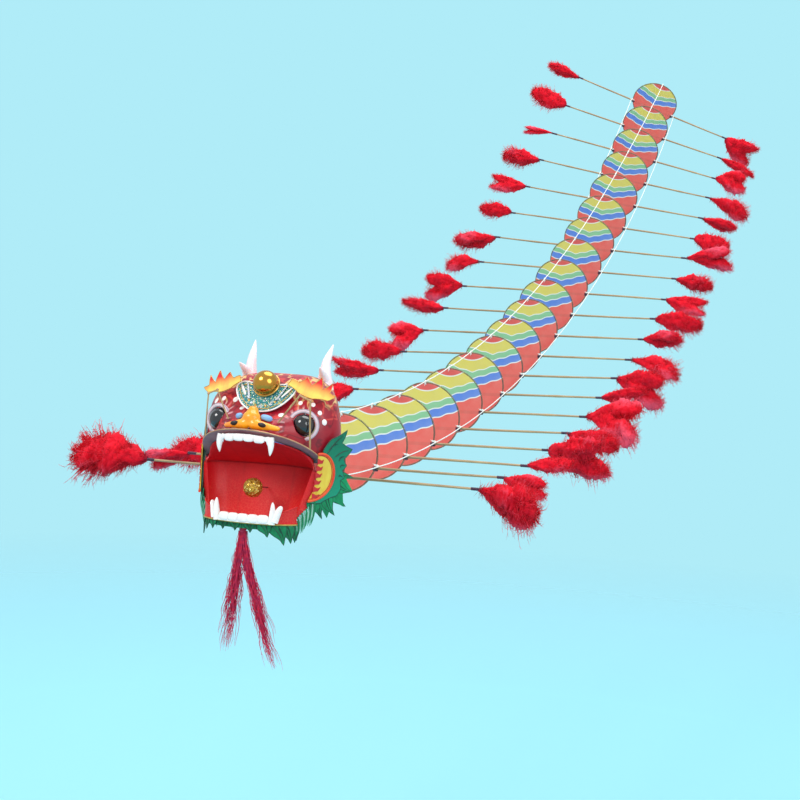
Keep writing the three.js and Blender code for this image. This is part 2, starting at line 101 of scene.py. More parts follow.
class Paint:  # one finish and its nodes
    def __init__(self, name):
        self.material = bpy.data.materials.new(name)
        self.material.use_nodes = True
        self.tree = self.material.node_tree
        self.tree.nodes.clear()
        self.place = None

    def node(self, kind, settings=None, values=None, outlet=0):
        made = self.tree.nodes.new("ShaderNode" + kind)
        for key, value in (settings or {}).items():
            if key == "stops":
                self.setStops(made.color_ramp, value)
            else:
                setattr(made, key, value)
        for key, value in (values or {}).items():
            if isinstance(value, Wire):
                self.tree.links.new(value.socket, made.inputs[key])
            else:
                made.inputs[key].default_value = value
        return Wire(self, made.outputs[outlet]) if len(made.outputs) else None

    def setStops(self, ramp, stops):
        while len(ramp.elements) < len(stops):
            ramp.elements.new(0.5)
        for element, (position, colour) in zip(ramp.elements, stops):
            element.position = position
            element.color = colour

    def xyz(self):  # the place on the piece, in millimetres
        if self.place is None:
            here = self.node("TexCoord", outlet="Object")
            split = self.node("SeparateXYZ", {}, {0: here}).socket.node
            self.place = [Wire(self, split.outputs[k]) * 1000 for k in range(3)]
        return self.place

    def where(self, stretch=(1, 1, 1)):  # a vector of the place on the piece, in metres
        here = self.node("TexCoord", outlet="Object")
        return self.node("Mapping", {}, {"Vector": here, "Scale": stretch})

    def noise(self, scale, detail=3, rough=0.55, stretch=(1, 1, 1)):
        return self.node("TexNoise", {}, {
            "Vector": self.where(stretch), "Scale": scale, "Detail": detail, "Roughness": rough}, "Fac")

    def cells(self, scale, outlet="Distance", feature="F1", stretch=(1, 1, 1)):
        return self.node("TexVoronoi", {"feature": feature}, {
            "Vector": self.where(stretch), "Scale": scale}, outlet)

    def mix(self, share, first, second):
        return self.node("Mix", {"data_type": "RGBA"}, {0: share, 6: first, 7: second}, 2)

    def ramp(self, value, stops):
        return self.node("ValToRGB", {"stops": stops}, {0: value}, "Color")

    def bump(self, height, distance, strength=1.0):  # distance in millimetres
        return self.node("Bump", {}, {"Height": height, "Distance": distance * mm, "Strength": strength})

    def finish(self, colour, rough, normal=None, **fixed):
        values = {"Base Color": colour, "Roughness": rough}
        for key, value in fixed.items():
            values[key.replace("_", " ")] = value
        if normal:
            values["Normal"] = normal
        shader = self.node("BsdfPrincipled", {}, values)
        self.node("OutputMaterial", {}, {"Surface": shader})
        return self.material


# mesh tools, all in millimetres
class Shape:  # gathers closed bits of mesh into one piece
    def __init__(self):
        self.points = []
        self.faces = []
        self.finishes = []

    def put(self, points, faces, finish=0):
        first = len(self.points)
        self.points += [tuple(p) for p in points]
        self.faces += [tuple(first + k for k in face) for face in faces]
        self.finishes += [finish] * len(faces)

    def tube(self, path, radii, sides=8, finish=0, closed=False, squash=1.0):
        path = [Vector(p) for p in path]
        count = len(path)
        if not hasattr(radii, "__len__"):
            radii = [radii] * count
        ways = []
        for k in range(count):
            before = path[k - 1] if closed or k > 0 else path[k]
            after = path[(k + 1) % count] if closed or k < count - 1 else path[k]
            ways.append((after - before).normalized())
        side = ways[0].orthogonal().normalized()
        points = []
        for k, way in enumerate(ways):
            side = (side - way * side.dot(way)).normalized()
            other = way.cross(side)
            for s in range(sides):
                turn = 2 * math.pi * s / sides
                out = math.cos(turn) * side + squash * math.sin(turn) * other
                points.append(path[k] + radii[k] * out)
        faces = []
        for k in range(count if closed else count - 1):
            for s in range(sides):
                a, b = k * sides + s, k * sides + (s + 1) % sides
                c, d = (((k + 1) % count) * sides + (s + 1) % sides, ((k + 1) % count) * sides + s)
                faces.append((a, b, c, d))
        if not closed:
            faces.append(tuple(reversed(range(sides))))
            faces.append(tuple((count - 1) * sides + s for s in range(sides)))
        self.put(points, faces, finish)

    def turned(self, profile, sides, place=Matrix(), finish=0):  # (radius, along y) pairs
        points = []
        rings = []
        for radius, along in profile:
            if radius < 1e-6:
                rings.append([len(points)] * sides)
                points.append(place @ Vector((0, along, 0)))
                continue
            rings.append(list(range(len(points), len(points) + sides)))
            for s in range(sides):
                turn = 2 * math.pi * s / sides
                points.append(place @ Vector((radius * math.cos(turn), along, -radius * math.sin(turn))))
        faces = []
        for low, high in zip(rings, rings[1:]):
            for s in range(sides):
                face = [low[s], low[(s + 1) % sides], high[(s + 1) % sides], high[s]]
                face = [v for k, v in enumerate(face) if v != face[k - 1]]
                faces.append(tuple(face))
        self.put(points, faces, finish)

    def blob(self, centre, radii, way=Matrix(), sides=20, rings=12, finish=0, lump=None):
        profile = [(math.sin(math.pi * k / rings), -math.cos(math.pi * k / rings)) for k in range(rings + 1)]
        profile[0] = (0, -1)
        profile[-1] = (0, 1)
        first = len(self.points)
        place = Matrix.Translation(centre) @ way @ Matrix.Diagonal((radii[0], radii[1], radii[2], 1))
        self.turned(profile, sides, place, finish)
        if lump:
            for k in range(first, len(self.points)):
                p = Vector(self.points[k])
                self.points[k] = tuple(p + (p - Vector(centre)) * lump(p))

    # a rounded block
    def pad(self, centre, radii, way=Matrix(), power=0.55, sides=20, rings=12, finish=0):
        first = len(self.points)
        self.blob((0, 0, 0), (1, 1, 1), Matrix(), sides, rings, finish)
        place = Matrix.Translation(centre) @ way @ Matrix.Diagonal((radii[0], radii[1], radii[2], 1))
        for k in range(first, len(self.points)):
            p = [math.copysign(abs(c) ** power, c) for c in self.points[k]]
            size = max(max(abs(c) for c in p), 1e-6)
            self.points[k] = tuple(place @ Vector(p) if size > 1e-5 else Vector(centre))

    def skin(self, surface, across, along, outer, inner, finish=0):  # a closed sheet over surface(u, v)
        step = 1e-3
        points = []
        for offset in (outer, inner):
            for j in range(along + 1):
                for i in range(across + 1):
                    u, v = i / across, j / along
                    goingU = surface(min(u + step, 1), v) - surface(max(u - step, 0), v)
                    goingV = surface(u, min(v + step, 1)) - surface(u, max(v - step, 0))
                    points.append(surface(u, v) + goingU.cross(goingV).normalized() * offset)
        layer = (across + 1) * (along + 1)

        def at(side, i, j):
            return side * layer + j * (across + 1) + i
        faces = []
        for j in range(along):
            for i in range(across):
                faces.append((at(0, i, j), at(0, i + 1, j), at(0, i + 1, j + 1), at(0, i, j + 1)))
                faces.append((at(1, i, j), at(1, i, j + 1), at(1, i + 1, j + 1), at(1, i + 1, j)))
            faces.append((at(0, 0, j), at(0, 0, j + 1), at(1, 0, j + 1), at(1, 0, j)))
            faces.append((at(0, across, j + 1), at(0, across, j), at(1, across, j), at(1, across, j + 1)))
        for i in range(across):
            faces.append((at(0, i + 1, 0), at(0, i, 0), at(1, i, 0), at(1, i + 1, 0)))
            faces.append((at(0, i, along), at(0, i + 1, along), at(1, i + 1, along), at(1, i, along)))
        self.put(points, faces, finish)

    def card(self, outline, thick, finish=0, lift=0.0, bow=None):  # a flat cut-out in the xy plane
        count = len(outline)
        bend = bow or (lambda x, y: 0)
        points = [Vector((x, y, z + lift + bend(x, y))) for z in (0, thick) for x, y in outline]
        faces = [tuple(reversed(range(count))), tuple(range(count, 2 * count))]
        for k in range(count):
            after = (k + 1) % count
            faces.append((k, after, count + after, count + k))
        self.put(points, faces, finish)

    def piece(self, name, paints, body, place=None, smooth=35):
        mesh = bpy.data.meshes.new(name)
        mesh.from_pydata([[c * mm for c in p] for p in self.points], [], self.faces)
        for paint in paints:
            mesh.materials.append(paint)
        mesh.polygons.foreach_set("material_index", self.finishes)
        mesh.update()
        return putPiece(name, mesh, body, place, smooth)


def putPiece(name, mesh, body, place=None, smooth=35):
    made = bpy.data.objects.new(name, mesh)
    bpy.context.scene.collection.objects.link(made)
    if place:
        made.matrix_world = place
    if smooth and not mesh.get("smoothed"):
        mesh.shade_smooth()
        mesh.set_sharp_from_angle(angle=math.radians(smooth))
        mesh["smoothed"] = True
    if body:
        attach(made, body)
    return made


def flames(points, bulge, steps=5):  # joins the corners of an outline with curved sides
    made = []
    for k, start in enumerate(points):
        end = points[(k + 1) % len(points)]
        a, b = Vector(start), Vector(end)
        across = Vector((b.y - a.y, a.x - b.x))
        middle = (a + b) / 2 + across * bulge * (1 if k % 2 else -1)
        for s in range(steps):
            t = s / steps
            made.append(tuple((1 - t) ** 2 * a + 2 * t * (1 - t) * middle + t * t * b))
    return made


def bowed(points, steps=6):  # a smooth closed outline through the points
    made = []
    count = len(points)
    for k in range(count):
        p = [Vector(points[(k + n) % count]) for n in (-1, 0, 1, 2)]
        for s in range(steps):
            made.append(tuple(catmull(p, s / steps)))
    return made


def catmull(p, t):
    along = (p[2] - p[0]) / 2
    onward = (p[3] - p[1]) / 2
    a = 2 * (p[1] - p[2]) + along + onward
    b = -3 * (p[1] - p[2]) - 2 * along - onward
    return a * t ** 3 + b * t ** 2 + along * t + p[1]


def through(points, t):  # the place at share t of a smooth open curve
    ends = [points[0] * 2 - points[1]] + list(points) + [points[-1] * 2 - points[-2]]
    reach = t * (len(points) - 1)
    k = min(int(reach), len(points) - 2)
    return catmull(ends[k:k + 4], reach - k)


def standing(origin, across, up):  # a plane's matrix: x across, y up, z out of it
    across = Vector(across).normalized()
    out = across.cross(Vector(up)).normalized()
    up = out.cross(across)
    place = Matrix((across, up, out)).transposed().to_4x4()
    return Matrix.Translation(Vector(origin) * mm) @ place


print("tools ready")


# camera and lights
view = {"place": (0.756, -1.736, 0.1745), "turn": 20.3, "down": 2.95, "roll": 3.0, "lens": 72}


def makeCamera():
    data = bpy.data.cameras.new("camera")
    data.lens = view["lens"]
    data.sensor_width = 36
    data.clip_end = 100
    camera = bpy.data.objects.new("camera", data)
    bpy.context.scene.collection.objects.link(camera)
    turn = Matrix.Rotation(math.radians(view["turn"]), 4, "Z")
    tip = Matrix.Rotation(math.radians(90 - view["down"]), 4, "X")
    roll = Matrix.Rotation(math.radians(view["roll"]), 4, "Z")
    camera.matrix_world = Matrix.Translation(view["place"]) @ turn @ tip @ roll
    bpy.context.scene.camera = camera


room = {
    "floor": -0.62, "seen": (176, 236, 248), "light": (226, 240, 246), "sky": 0.95, "fade": (1.2, 3.4),
    "paper": (150, 208, 222),
}
lamps = [
    ("key_lamp", (-1.5, -2.6, 2.3), (0, -0.1, 0.0), 1.5, 62, (1.0, 0.985, 0.96)),
    ("fill_lamp", (2.6, -1.6, 1.3), (0, 0.5, 0.1), 2.0, 36, (0.95, 0.985, 1.0)),
    ("top_lamp", (0.3, 0.9, 3.0), (0, 0.9, 0.3), 2.6, 62, (1.0, 1.0, 1.0)),
]


def makeRoom():
    world = bpy.data.worlds.new("room")
    bpy.context.scene.world = world
    world.use_nodes = True
    tree = world.node_tree
    soft = tree.nodes["Background"]
    soft.inputs["Color"].default_value = tone(*room["light"])
    soft.inputs["Strength"].default_value = room["sky"]
    seen = tree.nodes.new("ShaderNodeBackground")  # what the camera sees past the floor
    seen.inputs["Color"].default_value = tone(*room["seen"])
    path = tree.nodes.new("ShaderNodeLightPath")
    both = tree.nodes.new("ShaderNodeMixShader")
    tree.links.new(path.outputs["Is Camera Ray"], both.inputs[0])
    tree.links.new(soft.outputs[0], both.inputs[1])
    tree.links.new(seen.outputs[0], both.inputs[2])
    tree.links.new(both.outputs[0], tree.nodes["World Output"].inputs["Surface"])
    floor = Shape()
    reach = 14000
    rows = [(-reach, -reach), (reach, -reach), (reach, reach), (-reach, reach)]
    floor.put([(x, y, 0) for x, y in rows], [(0, 1, 2, 3)])
    paint = Paint("floor_paper")
    away = paint.node("VectorMath", {"operation": "LENGTH"}, {0: paint.where()}, "Value")
    near, far = room["fade"]
    share = ((away - near) / (far - near)).math("MULTIPLY", 1.0, clamp=True)
    grain = paint.noise(900, 2)
    matt = paint.node("BsdfDiffuse", {}, {
        "Color": paint.mix(grain * 0.06, tone(*room["paper"]), tone(190, 224, 235)), "Roughness": 1.0})
    clear = paint.node("BsdfTransparent", {}, {"Color": (1, 1, 1, 1)})
    both = paint.node("MixShader", {}, {0: share, 1: matt, 2: clear})
    paint.node("OutputMaterial", {}, {"Surface": both})
    sheet = floor.piece("floor", [paint.material], None, Matrix.Translation((0, 0.4, room["floor"])))
    for name, place, aim, size, power, colour in lamps:
        data = bpy.data.lights.new(name, "AREA")
        data.shape = "DISK"
        data.size = size
        data.energy = power
        data.color = colour
        lamp = bpy.data.objects.new(name, data)
        bpy.context.scene.collection.objects.link(lamp)
        lamp.location = place
        lamp.rotation_euler = (Vector(aim) - Vector(place)).to_track_quat("-Z", "Y").to_euler()
    bpy.context.scene.view_settings.view_transform = "Standard"


makeCamera()
makeRoom()
print("camera and lights set")


# the body's curve
body = {
    "discs": 20, "radius": 50, "spacing": 106, "stickDrop": 16.5, "stickDepth": 2.7,
    "reachNeck": 213, "reachTail": 177, "lineOffset": 51.3, "sideLineDrop": 13.4,
}


def bodyPlaces():
    places = []
    centre = Vector((0, 0, 0))
    for k in range(body["discs"]):
        t = k / (body["discs"] - 1)
        rise = math.radians(46.8 * t - 9.4 * t * t)
        twist = math.radians(-9.4 * t + 35 * t ** 3)
        turn = Matrix.Rotation(rise, 4, "X") @ Matrix.Rotation(twist, 4, "Y")
        places.append(Matrix.Translation(centre * mm) @ turn)
        ahead = (k + 0.5) / (body["discs"] - 1)
        onward = math.radians(46.8 * ahead - 9.4 * ahead * ahead)
        centre = centre + body["spacing"] * Vector((0, math.cos(onward), math.sin(onward)))
    return places


places = bodyPlaces()
carriers = ["head"] + [f"disc_{k:02d}" for k in range(2, body["discs"] + 1)]


# finishes of the body
silkTones = {
    "salmon": tone(254, 90, 78), "blue": tone(84, 134, 224), "green": tone(140, 204, 150),
    "yellow": tone(236, 216, 92), "lens": tone(238, 84, 78), "white": tone(248, 244, 234),
}
silkBands = {  # heights in millimetres on the disc's middle line
    "climb": 15.0, "power": 1.18, "scallop": 0.75, "scallopWide": 20.0, "soft": 0.4,
    "salmonTop": -5.2, "blueFoot": -3.4, "blueTop": 7.9, "greenFoot": 9.6, "greenTop": 18.2,
    "yellowFoot": 19.8, "lensFoot": 36.6, "lensCurve": 0.0145, "lensLine": 1.8,
}


def silkPaint():
    paint = Paint("printed_silk")
    x, y, z = paint.xyz()
    b = silkBands
    side = abs(x)
    climb = (side / 50) ** b["power"] * b["climb"]
    ripple = (side * (2 * math.pi / b["scallopWide"])).math("COSINE") * b["scallop"]
    drift = (paint.noise(9, 1) - 0.5) * 2.4
    level = z - climb + ripple + drift
    white = silkTones["white"]
    colour = paint.mix(level.above(b["salmonTop"], b["soft"]), silkTones["salmon"], white)
    colour = paint.mix(level.above(b["blueFoot"], b["soft"]), colour, silkTones["blue"])
    colour = paint.mix(level.above(b["blueTop"], b["soft"]), colour, white)
    colour = paint.mix(level.above(b["greenFoot"], b["soft"]), colour, silkTones["green"])
    colour = paint.mix(level.above(b["greenTop"], b["soft"]), colour, white)
    colour = paint.mix(level.above(b["yellowFoot"], b["soft"]), colour, silkTones["yellow"])
    lens = z - x * x * b["lensCurve"]
    colour = paint.mix(lens.above(b["lensFoot"], b["soft"]), colour, white)
    colour = paint.mix(lens.above(b["lensFoot"] + b["lensLine"], b["soft"]), colour, silkTones["lens"])
    # painted shade: a darker stripe where the leg stick lies against the back of the silk and blocks the light
    # coming through it
    stickShade = abs(z + body["stickDrop"]).above(2.4, 1.2)
    colour = paint.mix((1 - stickShade) * 0.16, colour, tone(150, 90, 70))
    cloudy = paint.noise(38, 4)
    colour = paint.mix(cloudy.above(0.5, 0.5) * 0.14, colour, tone(250, 236, 214))
    weave = (x * (2 * math.pi / 0.55)).wave() * (z * (2 * math.pi / 0.55)).wave()
    colour = paint.mix((weave + 1) * 0.03, colour, tone(120, 60, 50))
    normal = paint.bump(weave * 0.5 + paint.noise(90, 3), 0.25, 0.6)
    rough = 0.42 + cloudy * 0.18
    return paint.finish(colour, rough, normal, Sheen_Weight=0.25, Sheen_Roughness=0.4,
                        Specular_IOR_Level=0.35)


def bambooPaint(name, pale, dark, along="x", gloss=0.42):
    paint = Paint(name)
    stretch = {"x": (6, 160, 160), "y": (160, 6, 160), "z": (160, 160, 6)}[along]
    fibre = paint.noise(1.0, 5, 0.6, tuple(s * 4 for s in stretch))
    stain = paint.noise(22, 3)
    colour = paint.mix(fibre.above(0.5, 0.35), pale, dark)
    colour = paint.mix(stain.above(0.56, 0.3) * 0.5, colour, tuple(c * 0.55 for c in dark[:3]) + (1,))
    normal = paint.bump(fibre, 0.12, 0.7)
    return paint.finish(colour, gloss + stain * 0.15, normal, Coat_Weight=0.15, Coat_Roughness=0.3)


def threadPaint(name, first, second, twist=900, rough=0.85):
    paint = Paint(name)
    strands = paint.noise(twist, 2)
    colour = paint.mix(strands.above(0.5, 0.4), first, second)
    return paint.finish(colour, rough, paint.bump(strands, 0.2, 0.8), Sheen_Weight=0.3)


def plumePaint():
    paint = Paint("dyed_marabou")
    x, y, z = paint.xyz()
    spread = (y * y + z * z).math("SQRT")
    patch = paint.noise(60, 3)
    fine = paint.noise(420, 3, 0.6, (0.5, 1, 1))
    colour = paint.mix(patch.above(0.52, 0.4), tone(228, 12, 34), tone(190, 4, 26))
    colour = paint.mix(fine.above(0.5, 0.3) * 0.35, colour, tone(248, 44, 66))
    colour = paint.mix((1 - x.above(6, 10)) * 0.8, colour, tone(86, 6, 40))
    colour = paint.mix((spread + fine * 8).above(23, 8) * 0.6, colour, tone(250, 104, 130))
    return paint.finish(colour, 0.8, None, Sheen_Weight=0.3, Sheen_Roughness=0.5,
                        Sheen_Tint=tone(255, 120, 130), Specular_IOR_Level=0.1)


silk = silkPaint()
hoopBamboo = bambooPaint("hoop_bamboo", tone(122, 116, 84), tone(70, 74, 58), "z", 0.5)
stickBamboo = bambooPaint("stick_bamboo", tone(196, 164, 118), tone(142, 110, 76), "x")
darkTape = threadPaint("dark_binding", tone(82, 22, 62), tone(40, 14, 38), 500, 0.6)
whiteLine = threadPaint("white_line", tone(250, 249, 244), tone(222, 218, 208), 700)
plumeRed = plumePaint()


# the discs
hoop = {"sides": 64, "wide": 2.4, "deep": 2.5, "lashTurns": 5, "lashRadius": 0.55}


def hoopMesh():
    made = Shape()
    middle = body["radius"] - hoop["wide"] / 2
    path = []
    for k in range(hoop["sides"]):
        turn = 2 * math.pi * k / hoop["sides"]
        path.append((middle * math.cos(turn), 0, middle * math.sin(turn)))
    radii = [hoop["wide"] / 2 * (1 + 0.04 * math.sin(9 * k)) for k in range(hoop["sides"])]
    made.tube(path, radii, 8, 0, True)
    # the lapped joint of the hoop, at its foot
    lap = []
    for k in range(13):
        turn = math.radians(258 + 2 * k)
        lap.append(((middle - 0.5) * math.cos(turn), 1.1, (middle - 0.5) * math.sin(turn)))
    made.tube(lap, [0.5] + [1.1] * 11 + [0.5], 8)
    mesh = bpy.data.meshes.new("hoop")
    mesh.from_pydata([[c * mm for c in p] for p in made.points], [], made.faces)
    mesh.materials.append(hoopBamboo)
    return mesh


def silkMesh():
    sides, rings = 72, 12
    front, thick = -0.95, 0.22
    points, faces = [], []
    for layer in (0, 1):
        points.append((0, front + layer * thick, 0))
        for r in range(1, rings + 1):
            reach = (body["radius"] - 0.4) * r / rings
            for s in range(sides):
                turn = 2 * math.pi * s / sides
                share = r / rings
                pucker = 0.16 * share ** 5 * math.sin(24 * turn) + 0.22 * share ** 2 * math.sin(3 * turn + 1)
                slack = 0.5 * (1 - share ** 2)
                lift = (pucker + slack) * min(1, 6 * (1 - share))
                points.append((reach * math.cos(turn), front + layer * thick + lift, reach * math.sin(turn)))
    layer = 1 + sides * rings

    def at(side, ring, s):
        return side * layer + 1 + (ring - 1) * sides + s % sides
    for side in (0, 1):
        for s in range(sides):
            fan = (side * layer, at(side, 1, s), at(side, 1, s + 1))
            faces.append(fan if side == 0 else fan[::-1])
            for r in range(1, rings):
                quad = (at(side, r, s), at(side, r + 1, s), at(side, r + 1, s + 1), at(side, r, s + 1))
                faces.append(quad if side == 0 else quad[::-1])
    for s in range(sides):
        faces.append((at(0, rings, s), at(1, rings, s), at(1, rings, s + 1), at(0, rings, s + 1)))
    mesh = bpy.data.meshes.new("silk")
    mesh.from_pydata([[c * mm for c in p] for p in points], [], faces)
    mesh.materials.append(silk)
    return mesh


def stickShape(index, reach):
    made = Shape()
    depth, drop = body["stickDepth"], -body["stickDrop"]
    bend = 1.2 * math.sin(2.1 * index)
    path, radii = [], []
    steps = 28
    for k in range(steps + 1):
        along = 2 * k / steps - 1
        path.append((along * (reach + 4), depth, drop + bend * (along ** 2 - 0.05) * abs(along)))
        node = math.exp(-((abs(along) - 0.62 + 0.1 * math.sin(index)) / 0.02) ** 2)
        radii.append(1.85 - 0.45 * abs(along) ** 1.5 + 0.35 * node)
    made.tube(path, radii, 9)
    return made


def coil(made, start, end, radius, turns, thick, finish=0):  # thread wound round the x direction
    start, end = Vector(start), Vector(end)
    steps = int(turns * 10)
    path = []
    for k in range(steps + 1):
        turn = 2 * math.pi * turns * k / steps
        here = start.lerp(end, k / steps)
        path.append(here + Vector((0, radius * math.cos(turn), radius * math.sin(turn))))
    made.tube(path, thick, 5, finish)


def lashing(index, reach):  # the bindings at the hoop, and the wrap that holds each plume
    made = Shape()
    depth, drop = body["stickDepth"], -body["stickDrop"]
    crossing = math.sqrt((body["radius"] - 1.2) ** 2 - drop ** 2)
    for side in (-1, 1):
        start = Vector((side * (crossing - 2.6), depth - 1.3, drop))
        end = Vector((side * (crossing + 2.6), depth - 1.3, drop))
        coil(made, start, end, 3.3, hoop["lashTurns"], hoop["lashRadius"])
        bend = 1.2 * math.sin(2.1 * index) * 0.95
        start = Vector((side * (reach - 8), depth, drop + bend * 0.88))
        end = Vector((side * (reach + 5), depth, drop + bend))
        made.tube([start, start.lerp(end, 0.5), end], [1.5, 1.75, 1.2], 8)
        coil(made, start, end, 1.6, 12, 0.42)
    return made


plume = {
    "length": 80, "girth": 19.5, "kinds": 8, "barbs": 480, "hairs": 3, "coreSides": 26, "coreRings": 34,
    "core": 0.8, "flat": 0.72, "shaft": 0.55, "barb": 0.3, "tip": 0.08,
    # how bushy the nearest feathers are, by disc and side
    "bush": {(0, 1): 1.7, (1, 1): 0.8, (0, -1): 1.5, (1, -1): 0.75, (2, 1): 0.9, (3, 1): 1.6, (17, -1): 0.4},
    "stretch": {(0, -1): 1.28, (0, 1): 0.95, (1, 1): 0.75, (2, 1): 0.8, (3, 1): 1.1},
}


def plumeLobe(made, pick, kind, tilt, wide, start, share):  # one soft mass of down along a curved shaft
    length = plume["length"]
    phase = 1.9 * kind + 3 * tilt

    def spine(t):
        drop = 6 * math.sin(2.6 * t + phase) * t - 7 * t * t
        return Vector((t * length * math.cos(tilt), 5 * math.sin(2.2 * t + kind) * t,
                       math.sin(tilt) * length * t ** 1.3 + drop))

    def girth(t):
        swell = max(0.02, math.sin(math.pi * min(t, 0.985) ** (1.35 + 0.35 * math.sin(phase)))) ** 0.7
        return plume["girth"] * wide * swell

    rings, sides = plume["coreRings"], plume["coreSides"]
    points, faces = [], []
    for r in range(rings + 1):
        t = start + (0.97 - start) * r / rings
        ring = girth(t) * plume["core"] * (0.1 if r in (0, rings) else 1)
        for s in range(sides):
            turn = 2 * math.pi * s / sides
            out = Vector((0, math.cos(turn) * plume["flat"], math.sin(turn)))
            spot = Vector((t * 5, math.cos(turn) * 1.2 + kind * 5, math.sin(turn) * 1.2 + 9 * tilt))
            streak = noise.noise(Vector((t * 26 - 1.5, 7 * math.cos(turn), 7 * math.sin(turn) + kind)))
            fray = noise.noise(Vector((t * 40, 14 * math.cos(turn), 14 * math.sin(turn) + kind)))
            rough = 1 + 0.5 * noise.noise(spot) + 0.3 * streak + 0.2 * fray
            points.append(spine(t) + out * ring * max(rough, 0.3))
    for r in range(rings):
        for s in range(sides):
            after = (s + 1) % sides
            faces.append((r * sides + s, (r + 1) * sides + s, (r + 1) * sides + after, r * sides + after))
    faces.append(tuple(range(sides)))
    faces.append(tuple(reversed(range(rings * sides, rings * sides + sides))))
    made.put(points, faces)
    count = int(plume["barbs"] * share)
    for n in range(count):
        t = start + (0.98 - start) * ((n + 0.5) / count) ** 0.8
        turn = pick.uniform(0, 2 * math.pi)
        out = Vector((0, math.cos(turn) * plume["flat"], math.sin(turn)))
        reach = max(girth(t), 3.5) * pick.uniform(0.95, 1.35)
        lean = pick.uniform(0.1, 0.75)
        curl = Vector((pick.uniform(-1, 1), pick.uniform(-1, 1), pick.uniform(-1, 1))) * reach * 0.2
        path = []
        for k in range(4):
            s = 0.45 + 0.55 * k / 3
            path.append(spine(t) + out * reach * s + Vector((1, 0, 0)) * reach * lean * s ** 1.5
                        + curl * s * s + Vector((0, 0, -reach * 0.08 * s * s)))
        made.tube(path, [plume["barb"] * 1.6, plume["barb"] * 1.2, plume["barb"] * 0.7, plume["tip"]], 3)
        for h in range(plume["hairs"]):
            base = path[1 + h % 2].lerp(path[2 + h % 2], pick.random())
            side = Vector((pick.uniform(-0.3, 1), pick.uniform(-1, 1), pick.uniform(-1, 1))).normalized()
            end = base + side * pick.uniform(3, 7)
            made.tube([base, base.lerp(end, 0.5) + curl * 0.08, end], [0.2, 0.14, 0.05], 3)


def plumeMesh(kind):
    made = Shape()
    pick = random.Random(40 + kind)
    if kind % 4 == 1:  # a feather that parts into two
        plumeLobe(made, pick, kind, 0.24, 0.7, 0.03, 0.5)
        plumeLobe(made, pick, kind + 11, -0.2, 0.8, 0.03, 0.5)
    elif kind % 4 == 3:  # a wide one with a tuft above it
        plumeLobe(made, pick, kind, 0.22, 0.78, 0.03, 0.45)
        plumeLobe(made, pick, kind + 5, -0.12, 0.95, 0.03, 0.55)
    else:
        plumeLobe(made, pick, kind, 0.0, 0.95 + 0.12 * math.sin(2.1 * kind), 0.03, 1.0)
    made.tube([(k * 3, 0, 0) for k in range(6)], [plume["shaft"]] * 5 + [0.2], 6)
    mesh = bpy.data.meshes.new(f"plume_{kind}")
    mesh.from_pydata([[c * mm for c in p] for p in made.points], [], made.faces)
    mesh.materials.append(plumeRed)
    mesh.shade_smooth()
    return mesh


def plumePlace(index, side, reach):
    droop = math.radians(3 + 10 * math.sin(1.7 * index + side))
    sweep = math.radians(8 * math.sin(2.9 * index + 2 * side))
    size = plume["stretch"].get((index, side), 1.0 + 0.14 * math.sin(2.3 * index + 3 * side))
    bush = plume["bush"].get((index, side), 1.05 + 0.25 * math.sin(3.7 * index + side))
    mirror = Matrix.Diagonal((side, 1, 1, 1))
    turn = Matrix.Rotation(droop, 4, "Y") @ Matrix.Rotation(sweep, 4, "Z")
    roll = Matrix.Rotation(0.9 * math.sin(2.1 * index + side), 4, "X")
    shape = Matrix.Diagonal((size, size * bush ** 0.8, size * bush, 1))
    root = Vector((side * (reach - 2), body["stickDepth"], -body["stickDrop"])) * mm
    return Matrix.Translation(root) @ mirror @ turn @ shape @ roll


lineTies = [(0, body["lineOffset"]), (-body["lineOffset"], -body["sideLineDrop"]),
            (body["lineOffset"], -body["sideLineDrop"])]


def knotsShape():  # the three ties that hold a disc on its lines
    made = Shape()
    for x, z in lineTies:
        out = Vector((x, 0, z)).normalized()
        middle = out * (body["radius"] - 1.2)
        along = Vector((-out.z, 0, out.x))
        path = []
        for k in range(37):  # three loops round the hoop
            turn = 2 * math.pi * 3 * k / 36
            around = out * math.cos(turn) * 2.0 + Vector((0, math.sin(turn) * 2.0, 0))
            path.append(middle + around + along * (k / 36 - 0.5) * 2.4)
        made.tube(path, 0.5, 5)
        made.blob(tuple(out * (body["radius"] + 1.5)), (1.5, 1.5, 1.3), sides=10, rings=6)
        tail = [out * (body["radius"] + 1.2), out * (body["radius"] - 1) + Vector((0, -2.2, 0)),
                out * (body["radius"] - 5) + along * 1.2 + Vector((0, -2.4, 0))]
        made.tube(tail, [0.42, 0.42, 0.3], 5)
    return made


lines = {
    "starts": [(0, -32, 62), (-57, -32, -12), (57, -32, -12)], "thick": 0.72, "tucked": 0.56, "uneven": 0.08,
    "sag": 1.1, "steps": 28, "lap": 2,
}


def lineEnds(index):  # both ends of the three lines between two discs, from the head when index is 0
    ends = []
    for start, (x, z) in zip(lines["starts"], lineTies):
        tie = Vector((x, 0, z)) * mm
        a = Vector(start) if index == 0 else (places[index - 1] @ tie) / mm
        ends.append((a, (places[index] @ tie) / mm))
    return ends


def linePiece(index, first, last, carrier, name):  # the two halves of a gap lap at its hinge and slide there
    made = Shape()
    steps = lines["steps"]
    for a, b in lineEnds(index):
        path, thick = [], []
        for k in range(first, last + 1):
            t = k / steps
            sag = lines["sag"] * 4 * t * (1 - t) if index else 0
            path.append(a.lerp(b, t) - Vector((0, 0, sag)))
            thick.append(lines["thick"] + lines["uneven"] * math.sin(2.4 * k))
        if first > 0:  # the lapping end is a little thinner, so it lies inside the other half
            thick[:2 * lines["lap"]] = [lines["tucked"]] * (2 * lines["lap"])
        made.tube(path, thick, 7)
    half = made.piece(name, [whiteLine], carrier, None, 60)
    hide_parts("top_line", "left_line", "right_line")


